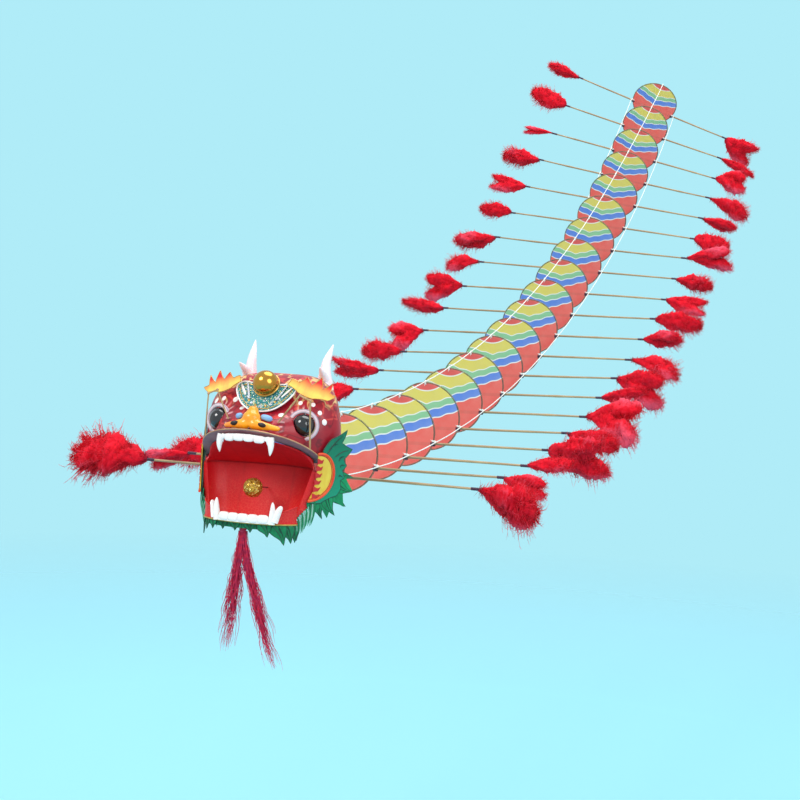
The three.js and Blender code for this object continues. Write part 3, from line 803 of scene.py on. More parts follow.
def makeLines(index):
    steps = lines["steps"]
    label = f"line_bay_{index:02d}"
    if index == 0:
        linePiece(index, 0, steps, "head", label)
        return
    linePiece(index, 0, steps // 2 + lines["lap"], carriers[index - 1], label + "_front")
    linePiece(index, steps // 2 - lines["lap"], steps, carriers[index], label + "_rear")


def makeBody():
    hoopData, silkData = hoopMesh(), silkMesh()
    plumes = [plumeMesh(kind) for kind in range(plume["kinds"])]
    knots = knotsShape()
    knotData = None
    for k, place in enumerate(places):
        carrier = carriers[k]
        node = f"waist_disc_{k + 1:02d}"
        label = f"{k + 1:02d}"
        reach = body["reachNeck"] + (body["reachTail"] - body["reachNeck"]) * k / (body["discs"] - 1)
        parts = []
        ring = putPiece(f"hoop_{label}", hoopData, carrier, place, 60)
        cloth = putPiece(f"silk_{label}", silkData, carrier, place, 50)
        parts += [ring, cloth]
        parts.append(stickShape(k, reach).piece(f"stick_{label}", [stickBamboo], carrier, place, 50))
        parts.append(lashing(k, reach).piece(f"lashing_{label}", [darkTape], carrier, place, 60))
        if knotData is None:
            tie = knots.piece(f"knots_{label}", [whiteLine], carrier, place, 60)
            knotData = tie.data
        else:
            tie = putPiece(f"knots_{label}", knotData, carrier, place, 60)
        for side in (-1, 1):
            kind = (k * 3 + (side + 1) * 2) % plume["kinds"]
            name = f"plume_{'left' if side < 0 else 'right'}_{label}"
            parts.append(putPiece(name, plumes[kind], carrier, place @ plumePlace(k, side, reach), 0))
        for part in parts:
            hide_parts(node)
        makeLines(k)


makeBody()
print("body made")


# finishes of the head
def lacquerPaint():  # dark red gloss with pale strokes inside the eyes and faint curls
    paint = Paint("red_lacquer")
    x, y, z = paint.xyz()
    cloudy = paint.noise(30, 4)
    colour = paint.mix(cloudy.above(0.5, 0.5), tone(178, 10, 32), tone(122, 4, 34))
    ax = abs(x) - 51
    up = z - 51
    reach = (ax * ax + up * up).math("SQRT")
    turn = up.math("ARCTAN2", ax)
    front = 1 - y.above(-108, 4)
    inside = (1 - ax.above(2, 8)) * up.above(-9, 8)
    rays = (turn * 21 + paint.noise(50, 2) * 4).wave().above(0.45, 0.7)
    ring = reach.above(16, 2) * (1 - (reach + paint.noise(120, 2) * 8).above(25, 4))
    colour = paint.mix(rays * ring * front * inside * 0.6, colour, tone(244, 190, 190))
    brush = paint.noise(24, 3, 0.5, (1, 1, 1.6))
    curls = 1 - abs(brush - 0.5).above(0.022, 0.02)
    colour = paint.mix(curls * 0.55, colour, tone(226, 70, 60))
    gilt = paint.noise(40, 2, 0.5, (1.4, 1, 1))
    crown = z.above(72, 10) * (1 - y.above(-70, 20))
    scrolls = (1 - abs(gilt - 0.5).above(0.03, 0.02)) * crown
    colour = paint.mix(scrolls * 0.85, colour, tone(232, 190, 120))
    dark = paint.noise(33, 2, 0.5, (1, 1, 1.2))
    colour = paint.mix((1 - abs(dark - 0.5).above(0.016, 0.016)) * 0.5, colour, tone(74, 0, 20))
    normal = paint.bump(paint.noise(60, 4), 0.5, 0.5)
    return paint.finish(colour, 0.34 + cloudy * 0.16, normal, Coat_Weight=0.22, Coat_Roughness=0.16,
                        Specular_IOR_Level=0.35)


def mouthPaint():
    paint = Paint("mouth_red")
    x, y, z = paint.xyz()
    cloudy = paint.noise(24, 4)
    colour = paint.mix(cloudy.above(0.5, 0.4), tone(216, 10, 24), tone(184, 4, 20))
    # painted light: the lower part of the mouth is painted brighter, as if lit from above, and the pale
    # crackle lines grow with it
    low = 1 - z.above(-30, 40)
    colour = paint.mix(low * 0.5, colour, tone(236, 34, 34))
    fine = paint.cells(330, "Distance", "DISTANCE_TO_EDGE")
    colour = paint.mix((1 - fine.above(0.05, 0.06)) * (0.05 + low * 0.14), colour, tone(246, 130, 90))
    # painted shade: a dark line in the crease where the liner folds
    crease = 1 - abs(z - 3 + paint.noise(30, 2) * 2).above(1.2, 1.4)
    colour = paint.mix(crease * 0.55, colour, tone(120, 2, 14))
    # painted shade: dark vertical bands in the liner's side folds
    foldShade = 1 - abs(abs(x) - 34 + paint.noise(14, 2) * 8).above(1.4, 2.4)
    colour = paint.mix(foldShade * 0.16, colour, tone(140, 2, 16))
    normal = paint.bump(paint.noise(45, 4) + fine * 0.2, 0.7, 0.5)
    return paint.finish(colour, 0.4 + cloudy * 0.2, normal, Coat_Weight=0.15, Coat_Roughness=0.2,
                        Specular_IOR_Level=0.3)


def cardPaint(name, pale, dark, foot=0.0, height=1.0, rough=0.5):  # colour climbs with the card's y
    paint = Paint(name)
    x, y, z = paint.xyz()
    stroke = paint.noise(70, 4, 0.6, (1, 0.35, 1))
    climb = ((y - foot) / height + (stroke - 0.5) * 0.5).math("MULTIPLY", 1.0, clamp=True)
    colour = paint.mix(climb, pale, dark)
    lighter = tuple(min(1, c * 1.8 + 0.03) for c in dark[:3]) + (1,)
    colour = paint.mix(stroke.above(0.56, 0.2) * 0.25, colour, lighter)
    normal = paint.bump(paint.noise(160, 3) + stroke * 0.6, 0.18, 0.6)
    return paint.finish(colour, rough + stroke * 0.12, normal, Coat_Weight=0.06, Coat_Roughness=0.3,
                        Specular_IOR_Level=0.25)


def plainPaint(name, first, second, rough, scale=50, bump=0.12, **fixed):
    paint = Paint(name)
    cloudy = paint.noise(scale, 4)
    colour = paint.mix(cloudy.above(0.5, 0.45), first, second)
    normal = paint.bump(paint.noise(scale * 5, 3), bump, 0.6)
    return paint.finish(colour, rough + cloudy * 0.1, normal, **fixed)


def glitterPaint(name, base, sparks, grain, metal):
    paint = Paint(name)
    flake = paint.cells(grain, "Color")
    split = paint.node("SeparateColor", {}, {0: flake}).socket.node
    pick, tilt, shine = [Wire(paint, split.outputs[k]) for k in range(3)]
    patch = paint.noise(70, 2)
    spark = paint.ramp(pick * 0.8 + patch * 0.2, sparks)
    colour = paint.mix(shine.above(0.55, 0.1), base, spark)
    edge = paint.cells(grain, "Distance")
    normal = paint.bump(edge + tilt * 0.8, 0.7, 0.9)
    return paint.finish(colour, 0.18 + tilt * 0.35, normal, Metallic=metal, Coat_Weight=0.3,
                        Coat_Roughness=0.1)


lacquer = lacquerPaint()
mouthRed = mouthPaint()
giltCard = plainPaint("gilt_card", tone(206, 160, 116), tone(166, 116, 86), 0.4, 60, 0.1, Metallic=0.25)
mauveCard = plainPaint("mauve_card", tone(156, 116, 118), tone(118, 84, 96), 0.5, 40)
enamel = plainPaint("tooth_white", tone(252, 244, 238), tone(240, 222, 218), 0.2, 80, 0.06,
                    Coat_Weight=0.4, Coat_Roughness=0.08, Subsurface_Weight=0.12,
                    Subsurface_Radius=(0.004, 0.003, 0.002))
whitePaint = plainPaint("white_paint", tone(250, 244, 240), tone(240, 222, 220), 0.3, 120)
gold = plainPaint("polished_gold", tone(214, 158, 72), tone(188, 128, 48), 0.12, 20, 0.03, Metallic=1.0)
goldTrim = plainPaint("gold_trim", tone(224, 186, 104), tone(186, 140, 62), 0.3, 200, 0.25, Metallic=0.8)
silver = glitterPaint("silver_strip", tone(214, 214, 220), [
    (0.0, tone(250, 250, 252)), (0.5, tone(196, 206, 220)), (1.0, tone(238, 226, 236))], 900, 0.7)
plateGlitter = glitterPaint("plate_glitter", tone(46, 128, 134), [
    (0.0, tone(30, 96, 150)), (0.3, tone(60, 168, 150)), (0.55, tone(206, 196, 110)),
    (0.75, tone(226, 230, 224)), (1.0, tone(92, 120, 200))], 760, 0.45)
pearlGlitter = glitterPaint("pearl_glitter", tone(176, 128, 34), [
    (0.0, tone(120, 78, 12)), (0.4, tone(206, 158, 52)), (0.75, tone(250, 220, 120)),
    (1.0, tone(90, 60, 16))], 520, 0.75)
noseGloss = plainPaint("nose_gloss", tone(255, 180, 20), tone(250, 136, 14), 0.26, 55, 0.12, Coat_Weight=0.3)
nostrilBlack = plainPaint("nostril_black", tone(30, 18, 24), tone(16, 10, 16), 0.35)
skyPatch = plainPaint("pale_blue_paint", tone(150, 196, 232), tone(96, 150, 210), 0.35)
browCard = cardPaint("brow_flame", tone(252, 206, 96), tone(226, 30, 48), 1, 13, 0.42)
hornPlastic = plainPaint("horn_plastic", tone(252, 242, 242), tone(240, 210, 216), 0.34, 26, 0.1,
                         Subsurface_Weight=0.4, Subsurface_Radius=(0.006, 0.004, 0.003), Coat_Weight=0.3)
hornRed = plainPaint("horn_root_red", tone(206, 20, 34), tone(150, 8, 26), 0.4, 60)
earGreen = cardPaint("ear_green", tone(4, 142, 108), tone(2, 104, 78), -20, 60)
maneGreen = cardPaint("mane_green", tone(2, 112, 70), tone(4, 148, 92), -46, 40)
darkEdge = plainPaint("dark_green_edge", tone(8, 74, 54), tone(4, 52, 40), 0.45, 80)
stripCard = plainPaint("pale_strips", tone(150, 196, 176), tone(70, 146, 120), 0.5, 160)
orangeEdge = plainPaint("orange_edge", tone(240, 88, 28), tone(220, 48, 24), 0.4, 80)
ochreCard = cardPaint("ear_ochre", tone(218, 164, 40), tone(224, 194, 76), -30, 50)
flameRed = plainPaint("flame_red", tone(206, 20, 28), tone(168, 8, 22), 0.4, 80)
eyeBlack = plainPaint("eye_black", tone(24, 20, 26), tone(10, 8, 12), 0.06, 30, 0.02, Coat_Weight=0.8,
                      Coat_Roughness=0.03)
eyeRim = plainPaint("eye_rim_grey", tone(196, 180, 190), tone(150, 132, 148), 0.4, 90)
lidPaint = plainPaint("eye_lid_pale", tone(232, 208, 212), tone(206, 176, 186), 0.4, 70)
wireSteel = plainPaint("plain_wire", tone(176, 178, 182), tone(140, 142, 148), 0.3, 200, 0.05, Metallic=1.0)
strutBamboo = bambooPaint("strut_bamboo", tone(196, 160, 106), tone(146, 108, 66), "z", 0.45)
sparBamboo = bambooPaint("spar_bamboo", tone(196, 164, 118), tone(142, 110, 76), "y")
beardRed = threadPaint("beard_thread", tone(214, 20, 58), tone(158, 10, 72), 260)


# the head's forms, repeated from the frame's source
skullSections = [
    (-160, 24, 49, 41), (-150, 38, 56, 35), (-140, 50, 61, 29), (-128, 62, 69, 21), (-115, 74, 84, 13),
    (-98, 81, 98, 2), (-75, 74, 104, -12), (-52, 64, 100, -22), (-36, 56, 91, -26),
]
crownLine = [Vector((half, y, top)) for y, half, top, hem in skullSections]
hemLine = [Vector((half, y, hem)) for y, half, top, hem in skullSections]
lip = {"half": 72, "middle": -116, "depth": 60, "rear": 8, "rise": 37, "width": 0.24}
jaw = {"half": 60, "middle": -140, "front": 27, "back": 30, "floor": -58, "narrow": 0.94, "shift": -2.0}
ear = {"x": 70, "y": -128, "right": 41, "left": 24}
eye = {"x": 51, "y": -130, "z": 51, "radius": 12.5, "room": 1.0}
crownBall = {"centre": (0, -124, 94), "radius": 14.4, "socket": 15.2}


def skullPoint(u, v):
    angle = math.radians(180 * u - 90)
    crown, hem = through(crownLine, v), through(hemLine, v)
    across = math.copysign(abs(math.sin(angle)) ** 0.5, angle)
    up = max(math.cos(angle), 0) ** 0.5
    return Vector((crown.x * across, crown.y, hem.z + (crown.z - hem.z) * up))


def lipHeight(y):
    forward = min(max((lip["middle"] - y) / lip["depth"], 0), 1)
    return lip["rear"] + lip["rise"] * forward ** 0.85


def lipPoint(turn, scale):
    y = lip["middle"] - lip["depth"] * scale * math.cos(turn)
    return Vector((lip["half"] * scale * math.sin(turn), y, lipHeight(y)))


def linerPoint(u, v):
    turn = math.radians(172 * u - 86)
    side, ahead = math.sin(turn), math.cos(turn)
    crease = 0.42
    y = -123 - 38 * ahead
    top = Vector((62 * side, y, lipHeight(y) - 3.2))
    fold = Vector((66 * side, -133 + 37 * ahead, 4 - 2 * ahead))
    foot = Vector((56 * side * jaw["narrow"] + jaw["shift"], -142 + 30 * ahead, -53 - 2.8 * ahead))
    if v < crease:
        return top.lerp(fold, v / crease)
    return fold.lerp(foot, (v - crease) / (1 - crease))


def jawEdge(turn, inset=0.0):
    return Vector(((jaw["half"] - inset) * math.sin(turn) * jaw["narrow"] + jaw["shift"],
                   jaw["middle"] - (jaw["front"] - inset) * math.cos(turn), jaw["floor"]))


def earPlane(side, lift=0.0):  # x runs back along the ear's foot and y up
    sweep = math.radians(ear[side])
    place = standing((ear["x"], ear["y"], 0), (math.sin(sweep), math.cos(sweep), 0), (0, 0, 1))
    return place @ Matrix.Translation((0, 0, lift * mm))


mirrorX = Matrix.Diagonal((-1, 1, 1, 1))


def pair(name, nodes, make, paints, place=None, smooth=40, lift=None):
    # the right piece is given and the left one is its mirror image; lift puts it on the ear's plane
    made = make()
    for side in ("right", "left"):
        mesh = bpy.data.meshes.new(f"{side}_{name}")
        points = [Vector(p) * mm for p in made.points]
        faces = made.faces
        if lift is not None:
            place = earPlane(side, lift)
        where = place.copy() if place else Matrix()
        if side == "left":
            # turn the mirror image so that the object itself isn't mirrored
            flipped = Matrix.Diagonal((1, 1, -1, 1)) if place else mirrorX
            points = [flipped @ p for p in points]
            faces = [tuple(reversed(face)) for face in faces]
            if place:
                turn = where.to_3x3()
                columns = [mirrorX.to_3x3() @ turn.col[0], mirrorX.to_3x3() @ turn.col[1]]
                columns.append(-(mirrorX.to_3x3() @ turn.col[2]))
                turned = Matrix(columns).transposed().to_4x4()
                where = Matrix.Translation(mirrorX @ where.translation) @ turned
        mesh.from_pydata([list(p) for p in points], [], faces)
        for paint in paints:
            mesh.materials.append(paint)
        mesh.polygons.foreach_set("material_index", made.finishes)
        mesh.update()
        piece = putPiece(f"{side}_{name}_skin", mesh, "head", where, smooth)
        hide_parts(*[f"{side}_{node}" for node in nodes])


def single(name, node, shape, paints, body="head", place=None, smooth=40):
    piece = shape.piece(name, paints, body, place, smooth)
    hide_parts(node)
    return piece


def cutAway(piece, cutters):  # takes round balls out of a piece, then removes the balls
    for centre, radius in cutters:
        ball = Shape()
        ball.blob(centre, (radius, radius, radius), sides=40, rings=24)
        tool = ball.piece("cutter", [lacquer], None)
        step = piece.modifiers.new("hollow", "BOOLEAN")
        step.operation = "DIFFERENCE"
        step.object = tool
        step.solver = "EXACT"
        graph = bpy.context.evaluated_depsgraph_get()
        mesh = bpy.data.meshes.new_from_object(piece.evaluated_get(graph))
        piece.modifiers.clear()
        piece.data = mesh
        bpy.data.objects.remove(tool)


def makeSkull():
    shell = Shape()
    shell.skin(skullPoint, 72, 54, 0, -1.9)
    piece = shell.piece("skull", [lacquer], "head", None, 50)
    sockets = [((side * eye["x"], eye["y"], eye["z"]), eye["radius"] + eye["room"]) for side in (-1, 1)]
    cutAway(piece, sockets + [(crownBall["centre"], crownBall["socket"])])
    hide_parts("skull_shell")
    return piece


def skullHit(piece, x, z):  # the skull's front surface at a height, or nothing
    start = Vector((x, -400, z)) * mm
    found, place, normal, face = piece.ray_cast(start, Vector((0, 1, 0)))
    return (place / mm, normal) if found else None


dots = {
    "size": 3.1, "proud": 0.45,
    "right": [(42, 74.5), (64.5, 65), (70, 55), (27.5, 61), (56, 73.5)],
    "left": [(53, 73.5), (36.5, 73.5), (23.5, 65), (64, 70), (69, 58)],
}


def makeDots(skull):
    made = Shape()
    for side, spots in ((1, dots["right"]), (-1, dots["left"])):
        for x, z in spots:
            hit = skullHit(skull, side * x, z)
            if not hit:
                continue
            way = hit[1].to_track_quat("Y", "Z").to_matrix().to_4x4()
            size = dots["size"] * (0.95 + 0.15 * math.sin(x + z + side))
            made.blob(tuple(hit[0]), (size, dots["proud"], size * 1.1), way, 18, 8)
    piece = made.piece("face_dots", [whitePaint], "head")


def makeMouth():
    board = Shape()

    def boardPoint(u, v):
        return lipPoint(math.radians(176 * u - 88), 1 - lip["width"] * (1 - v))
    board.skin(boardPoint, 60, 5, 0.75, 0.05, 0)
    board.skin(boardPoint, 60, 5, 0.0, -0.75, 1)
    rim = [lipPoint(math.radians(176 * k / 60 - 88), 1.0) for k in range(61)]
    board.tube(rim, 0.75, 7, 2)
    single("lip_card", "lip_board", board, [mauveCard, giltCard, giltCard], smooth=50)
    liner = Shape()

    def wavy(u, v):
        ripple = 0.5 * math.sin(9 * u + 3 * v) * math.sin(math.pi * v) * math.sin(math.pi * u)
        return linerPoint(u, v) + Vector((0, ripple, 0))
    liner.skin(wavy, 54, 36, 0.8, -0.8)
    single("mouth_card", "mouth_liner", liner, [mouthRed], smooth=50)
    tray = Shape()
    outline = []
    for k in range(48):
        turn = 2 * math.pi * k / 48
        back = jaw["back"] if math.sin(turn) > 0 else jaw["front"]
        across = jaw["half"] * math.cos(turn) * jaw["narrow"] + jaw["shift"]
        outline.append((across, jaw["middle"] + back * math.sin(turn)))
    tray.card(outline, 2.5, 0, jaw["floor"])

    def wall(u, v):
        turn = math.radians(170 * u - 85)
        height = 8 + 12 * abs(math.sin(turn)) ** 3
        return jawEdge(turn, 0.6) + Vector((0, 0, 0.5 + v * height))
    tray.skin(wall, 54, 6, 0, -1.6)
    # the rolled lip is highest where the fangs stand
    edge = [wall(k / 54, 1.0) for k in range(55)]
    tray.tube(edge, 1.0, 8)
    hem = [jawEdge(math.radians(170 * k / 54 - 85), -0.2) + Vector((0, 0, 0.6)) for k in range(55)]
    tray.tube(hem, 0.9, 7, 1)
    single("jaw_card", "jaw_tray", tray, [mouthRed, goldTrim], smooth=50)


def tooth(made, foot, tip, wide, deep, steps=8, blunt=0.62, bend=(0, 0, 0)):
    foot, tip, bend = Vector(foot), Vector(tip), Vector(bend)
    path, radii = [], []
    for k in range(steps + 1):
        t = k / steps
        path.append(foot.lerp(tip, t) + bend * math.sin(math.pi * t))
        radii.append(wide * (1 - t ** 2.2 * (1 - blunt)) * (1 if k < steps else 0.55))
    made.tube(path, radii, 12, 0, False, deep / wide)


def makeTeeth():
    upper = Shape()

    def upperPath(turn):
        return lipPoint(turn, 0.965) + Vector((0, 0, -3.9))

    def gum(u, v):
        return upperPath(math.radians(26) * (2 * u - 1)) + Vector((0, 0, -v * 4.4))
    upper.skin(gum, 30, 3, 1.6, -1.2)
    for k in range(4):
        turn = math.radians(26) * 0.76 * ((k + 0.5) / 2 - 1)
        crown = upperPath(turn)
        upper.pad(tuple(crown + Vector((0, 0, -4.0))), (6.1, 2.8, 4.2),
                  Matrix.Rotation(turn * 0.6, 4, "Z"), 0.62)
    for side in (-1, 1):
        root = upperPath(side * math.radians(25.2))
        for width, shift in ((4.1, 0), (2.6, side * -3.6)):
            drop = 19 if shift == 0 else 8
            tooth(upper, root + Vector((shift, 0, 0.5)), root + Vector((shift + side * 0.6, -0.8, -drop)),
                  width, width * 0.85, 9, 0.16, (side * 1.0, -0.6, 0))
    single("teeth_upper", "upper_teeth", upper, [enamel], smooth=60)
    lower = Shape()

    def lowerPath(turn):
        return jawEdge(turn, -3.8) + Vector((0, 0, 1.5))

    def foot(u, v):
        return lowerPath(math.radians(4) + math.radians(36) * (2 * u - 1)) + Vector((0, 0, v * 6))
    lower.skin(foot, 36, 3, 1.6, -1.2)
    for k in range(5):
        turn = math.radians(4) + math.radians(36) * 0.78 * ((k + 0.5) / 2.5 - 1)
        crown = lowerPath(turn)
        lower.pad(tuple(crown + Vector((0, 0, 5.0))), (6.4, 3.0, 4.8),
                  Matrix.Rotation(turn * 0.6, 4, "Z"), 0.62)
    for side in (-1, 1):
        root = lowerPath(math.radians(4 + side * 32.5))
        tooth(lower, root, root + Vector((side * 1.0, -0.8, 24)), 4.2, 3.2, 9, 0.3, (side * 0.6, 0, 0))
        tooth(lower, root + Vector((side * 3, 0.6, 2)), root + Vector((side * 9.5, 4.5, 20)),
              4.6, 3.2, 9, 0.5, (side * -0.5, 0, 1))
    single("teeth_lower", "lower_teeth", lower, [enamel], smooth=60)


def makeForehead():
    place = standing((0, -138, 62), (1, 0, 0), (0, 23, 32))
    corners = [(0, 0), (-15, 3), (-28, 14), (-36, 30), (-30, 37.6), (-18, 37), (0, 35)]
    outline = bowed(corners + [(-x, y) for x, y in reversed(corners[1:-1])], 6)
    made = Shape()
    made.card(outline, 1.5, 0, 0.5)
    made.tube([(x, y, 2.1) for x, y in outline], 0.9, 7, 1, True)
    inner = [(x * 0.86, 20 + (y - 20) * 0.82, 2.1) for x, y in outline]
    made.tube(inner, 0.5, 6, 2, True)
    for side in (-1, 1):  # silver bars that lean in to the ball
        for lean in (0, 1):
            start = Vector((side * (16 + 6 * lean), 15 + 5 * lean, 2.6))
            end = Vector((side * (24 + 7 * lean), 35 - 2 * lean, 2.6))
            made.tube([start, start.lerp(end, 0.5), end], [1.7, 2.2, 1.7], 8, 3 - 2 * lean, False, 0.45)
    for k in range(9):  # sequins along the foot of the plate
        turn = math.radians(200 + 140 * k / 8)
        spot = Vector((20 * math.cos(turn), 24 + 17 * math.sin(turn), 2.2))
        made.blob(tuple(spot), (1.5, 1.5, 0.8), sides=10, rings=6, finish=2 if k % 2 else 3)
    single("forehead_badge", "forehead_plate", made,
           [plateGlitter, whitePaint, goldTrim, silver], place=place, smooth=40)
    ball = Shape()
    ball.blob(crownBall["centre"], [crownBall["radius"]] * 3, sides=48, rings=32)
    single("forehead_ball", "forehead_pearl", ball, [gold], smooth=80)
    collar = Shape()
    away = Vector((0, -32, 23)).normalized()
    frameUp = Vector((0, 23, 32)).normalized()
    loop = []
    for k in range(40):
        turn = 2 * math.pi * k / 40
        out = math.cos(turn) * Vector((1, 0, 0)) + math.sin(turn) * frameUp
        loop.append(Vector(crownBall["centre"]) - away * 3.5 + 14.6 * out)
    collar.tube(loop, 1.0, 8, 0, True)
    piece = collar.piece("ball_collar", [goldTrim], "head")


nose = {"voxel": 0.001, "ease": 16, "wing": 31}


def makeNose():
    made = Shape()
    made.blob((0, -156, 56), (10.5, 9.5, 9.5), sides=28, rings=18)
    made.blob((-0.5, -152, 63), (6.5, 7, 7), sides=20, rings=14)
    for side in (-1, 1):
        for k in range(17):  # each wing thins towards its tip
            t = k / 16
            here = Vector((side * (6 + nose["wing"] * 0.8 * t), -160 + 6 * t ** 1.6, 50.0 - 3.4 * t))
            size = 6.8 - 3.6 * t
            made.blob(tuple(here), (size * 1.1, size, size * 0.92), sides=18, rings=12)
    piece = made.piece("nose_form", [noseGloss], "head", None, 0)
    melt = piece.modifiers.new("melt", "REMESH")
    melt.mode = "VOXEL"
    melt.voxel_size = nose["voxel"]
    ease = piece.modifiers.new("ease", "SMOOTH")
    ease.factor = 0.6
    ease.iterations = nose["ease"]
    graph = bpy.context.evaluated_depsgraph_get()
    mesh = bpy.data.meshes.new_from_object(piece.evaluated_get(graph))
    piece.modifiers.clear()
    piece.data = mesh
    mesh.shade_smooth()
    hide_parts("nose")
    holes = Shape()
    for side in (-1, 1):
        tilt = Matrix.Rotation(math.radians(side * 10), 4, "Y")
        holes.blob((side * 16.5, -164.2, 50.4), (5.0, 1.8, 2.6), tilt)
    piece = holes.piece("nostrils", [nostrilBlack], "head")
    marks = Shape()
    for side in (-1, 1):  # the left one is smaller
        wide = 5.5 + 1.5 * side
        tilt = Matrix.Rotation(math.radians(side * 12), 4, "Y")
        marks.pad((side * 16.5, -152.5, 57.5), (wide, 3.2, 3.4), tilt, 0.8)
    piece = marks.piece("nose_marks", [skyPatch], "head")


def makeBrows():
    def brow():
        made = Shape()
        corners = [(0, 0), (14, -4), (32, -5), (48, -1), (55, 7), (47, 8), (46, 20), (38, 9),
                   (32, 22), (25, 9), (17, 16), (11, 7), (2, 8)]
        outline = flames(corners, 0.1, 5)
        made.card(outline, 1.2)
        made.tube([(x, y, 1.2) for x, y in outline], 0.4, 5, 1, True)
        return made
    place = standing((28, -127, 94), (48, 10, -15.5), (0, 16, 38))
    pair("brow", ["brow"], brow, [browCard, goldTrim], place)


def makeHorns():
    def horn():
        made = Shape()

        def bent(points, radii, finish):
            path = [through([Vector(p) for p in points], k / 16) for k in range(17)]
            widths = [through([Vector((r, 0, 0)) for r in radii], k / 16).x for k in range(17)]
            made.tube(path, widths, 14, finish)
        bent([(47, -68, 82), (46.8, -67.5, 96), (46.5, -66.5, 108), (46.5, -64, 120), (47.6, -58, 130),
              (49, -52.5, 139.5)], [11.5, 9.4, 6.6, 4.9, 3.0, 0.6], 0)
        bent([(48, -70, 98), (48.4, -76, 105), (49.2, -84, 110), (50, -90.5, 114)], [6.0, 4.8, 2.9, 0.6], 0)
        bent([(47, -68, 82), (46.9, -67.8, 88)], [12.6, 11.2], 1)
        return made
    pair("horn", ["horn"], horn, [hornPlastic, hornRed], smooth=70)


def makeEyes():
    for side, name in ((-1, "left"), (1, "right")):
        centre = Vector((side * eye["x"], eye["y"], eye["z"]))
        ball = Shape()
        ball.blob(tuple(centre), (12.4, 12.4, 12.4), sides=44, rings=28)
        single(f"{name}_eyeball", f"{name}_eye", ball, [eyeBlack], f"{name}_eye", smooth=80)
        facing = Vector((side * 0.3, -1, 0.08)).normalized()
        lean = Vector((0, 1, 0)).rotation_difference(facing).to_matrix().to_4x4()
        place = Matrix.Translation(centre + facing * 3.4) @ lean
        ring = Shape()
        inner = eye["radius"] + 0.85
        profile = [(inner, -2.8), (inner + 3.6, -2.8), (inner + 4.1, -0.6), (inner + 3.2, 0.9),
                   (inner + 1.7, 1.5), (inner + 0.5, 1.0), (inner, 0.4), (inner, -2.8)]
        ring.turned(profile, 48, place, 0)
        lash = [place @ Vector(((inner + 3.9) * math.cos(2 * math.pi * k / 48), 0.1,
                                (inner + 3.9) * math.sin(2 * math.pi * k / 48))) for k in range(48)]
        ring.tube(lash, 0.5, 6, 1, True)
        single(f"{name}_eye_rim", f"{name}_eye_ring", ring, [lidPaint, eyeRim], smooth=50)


def makeEars():
    def earCard():
        made = Shape()
        corners = [(-1, 3), (4, 14), (5, 24), (15, 37), (33, 47), (27, 33), (40, 26), (30, 15), (34, 8),
                   (29, 3), (32, -5), (27, -8), (28, -17), (23, -25), (4, -33), (-9, -33)]
        outline = flames(corners, 0.08, 5)
        made.card(outline, 1.4)
        made.tube([(x, y, 0.7) for x, y in outline], 0.8, 6, 1, True)
        creases = [((9, 20), (28, 41)), ((19, 17), (36, 25)), ((26, 6), (32, 8)), ((25, -4), (30, -5)),
                   ((11, 24), (22, 32)), ((24, 13), (31, 18))]
        for start, end in creases:
            a, b = Vector((*start, 1.5)), Vector((*end, 1.5))
            bend = Vector((-2, 3, 0))
            path = [a.lerp(b, k / 6) + bend * math.sin(math.pi * k / 6) * 0.5 for k in range(7)]
            made.tube(path, [0.3, 0.6, 0.75, 0.75, 0.65, 0.5, 0.2], 5, 1)
        return made
    pair("ear_card", ["ear"], earCard, [earGreen, darkEdge], lift=0)

    def panel():
        made = Shape()
        controls = [Vector((-2, 20.5)), Vector((24, 26)), Vector((28.5, -28)), Vector((-12, -31))]
        outer = []
        for k in range(29):
            t = k / 28
            outer.append(tuple(controls[0] * (1 - t) ** 3 + controls[1] * 3 * t * (1 - t) ** 2
                               + controls[2] * 3 * t * t * (1 - t) + controls[3] * t ** 3))
        outline = outer + [(-6, -20), (-3, -8), (-2, 6)]
        made.card(outline, 1.1)
        made.tube([(x, y, 0.9) for x, y in outer], 1.5, 8, 1)
        made.tube([(x * 0.9 - 0.6, y * 0.92, 1.2) for x, y in outer], 0.5, 6, 2)
        # the small curled flames along the inner edge
        for n in range(6):
            foot = Vector((-8 + n * 1.0, -25.5 + n * 7.6))
            tips = [(foot.x, foot.y - 3.2), (foot.x + 6, foot.y - 2.2),
                    (foot.x + 9.5 - 0.4 * n, foot.y + 2.6), (foot.x + 5, foot.y + 1.2), (foot.x, foot.y + 3.4)]
            made.card(flames(tips, 0.14, 4), 0.7, 2, 1.15)
        return made
    pair("ear_disc", ["ear_panel"], panel, [ochreCard, orangeEdge, flameRed], lift=1.9)


# a pointed paper blade with a raised edge
def leaf(made, root, tip, wide, curl, finish=0, edge=1, thick=0.9):
    root, tip = Vector(root), Vector(tip)
    across = Vector((root.y - tip.y, tip.x - root.x)).normalized()
    sides = ([], [])
    for k in range(9):
        t = k / 8
        middle = root.lerp(tip, t) + across * curl * math.sin(math.pi * t * 0.9)
        half = wide * (1 - t) ** 0.75 * (0.75 + 0.6 * math.sin(math.pi * min(1, t * 1.3)))
        sides[0].append(tuple(middle + across * half))
        if k < 8:
            sides[1].append(tuple(middle - across * half))
    outline = sides[0] + sides[1][::-1]
    outline.reverse()
    made.card(outline, thick, finish)
    made.tube([(x, y, thick) for x, y in outline], 0.4, 5, edge, True)
    for shift in (-0.3, 0.3):  # two painted veins
        vein = [(*(root.lerp(tip, k / 6) + across * (curl * math.sin(math.pi * k / 6 * 0.9)
                                                       + shift * wide * (1 - k / 7))), thick + 0.1)
                for k in range(6)]
        made.tube(vein, [0.45, 0.5, 0.5, 0.45, 0.35, 0.2], 5, edge)


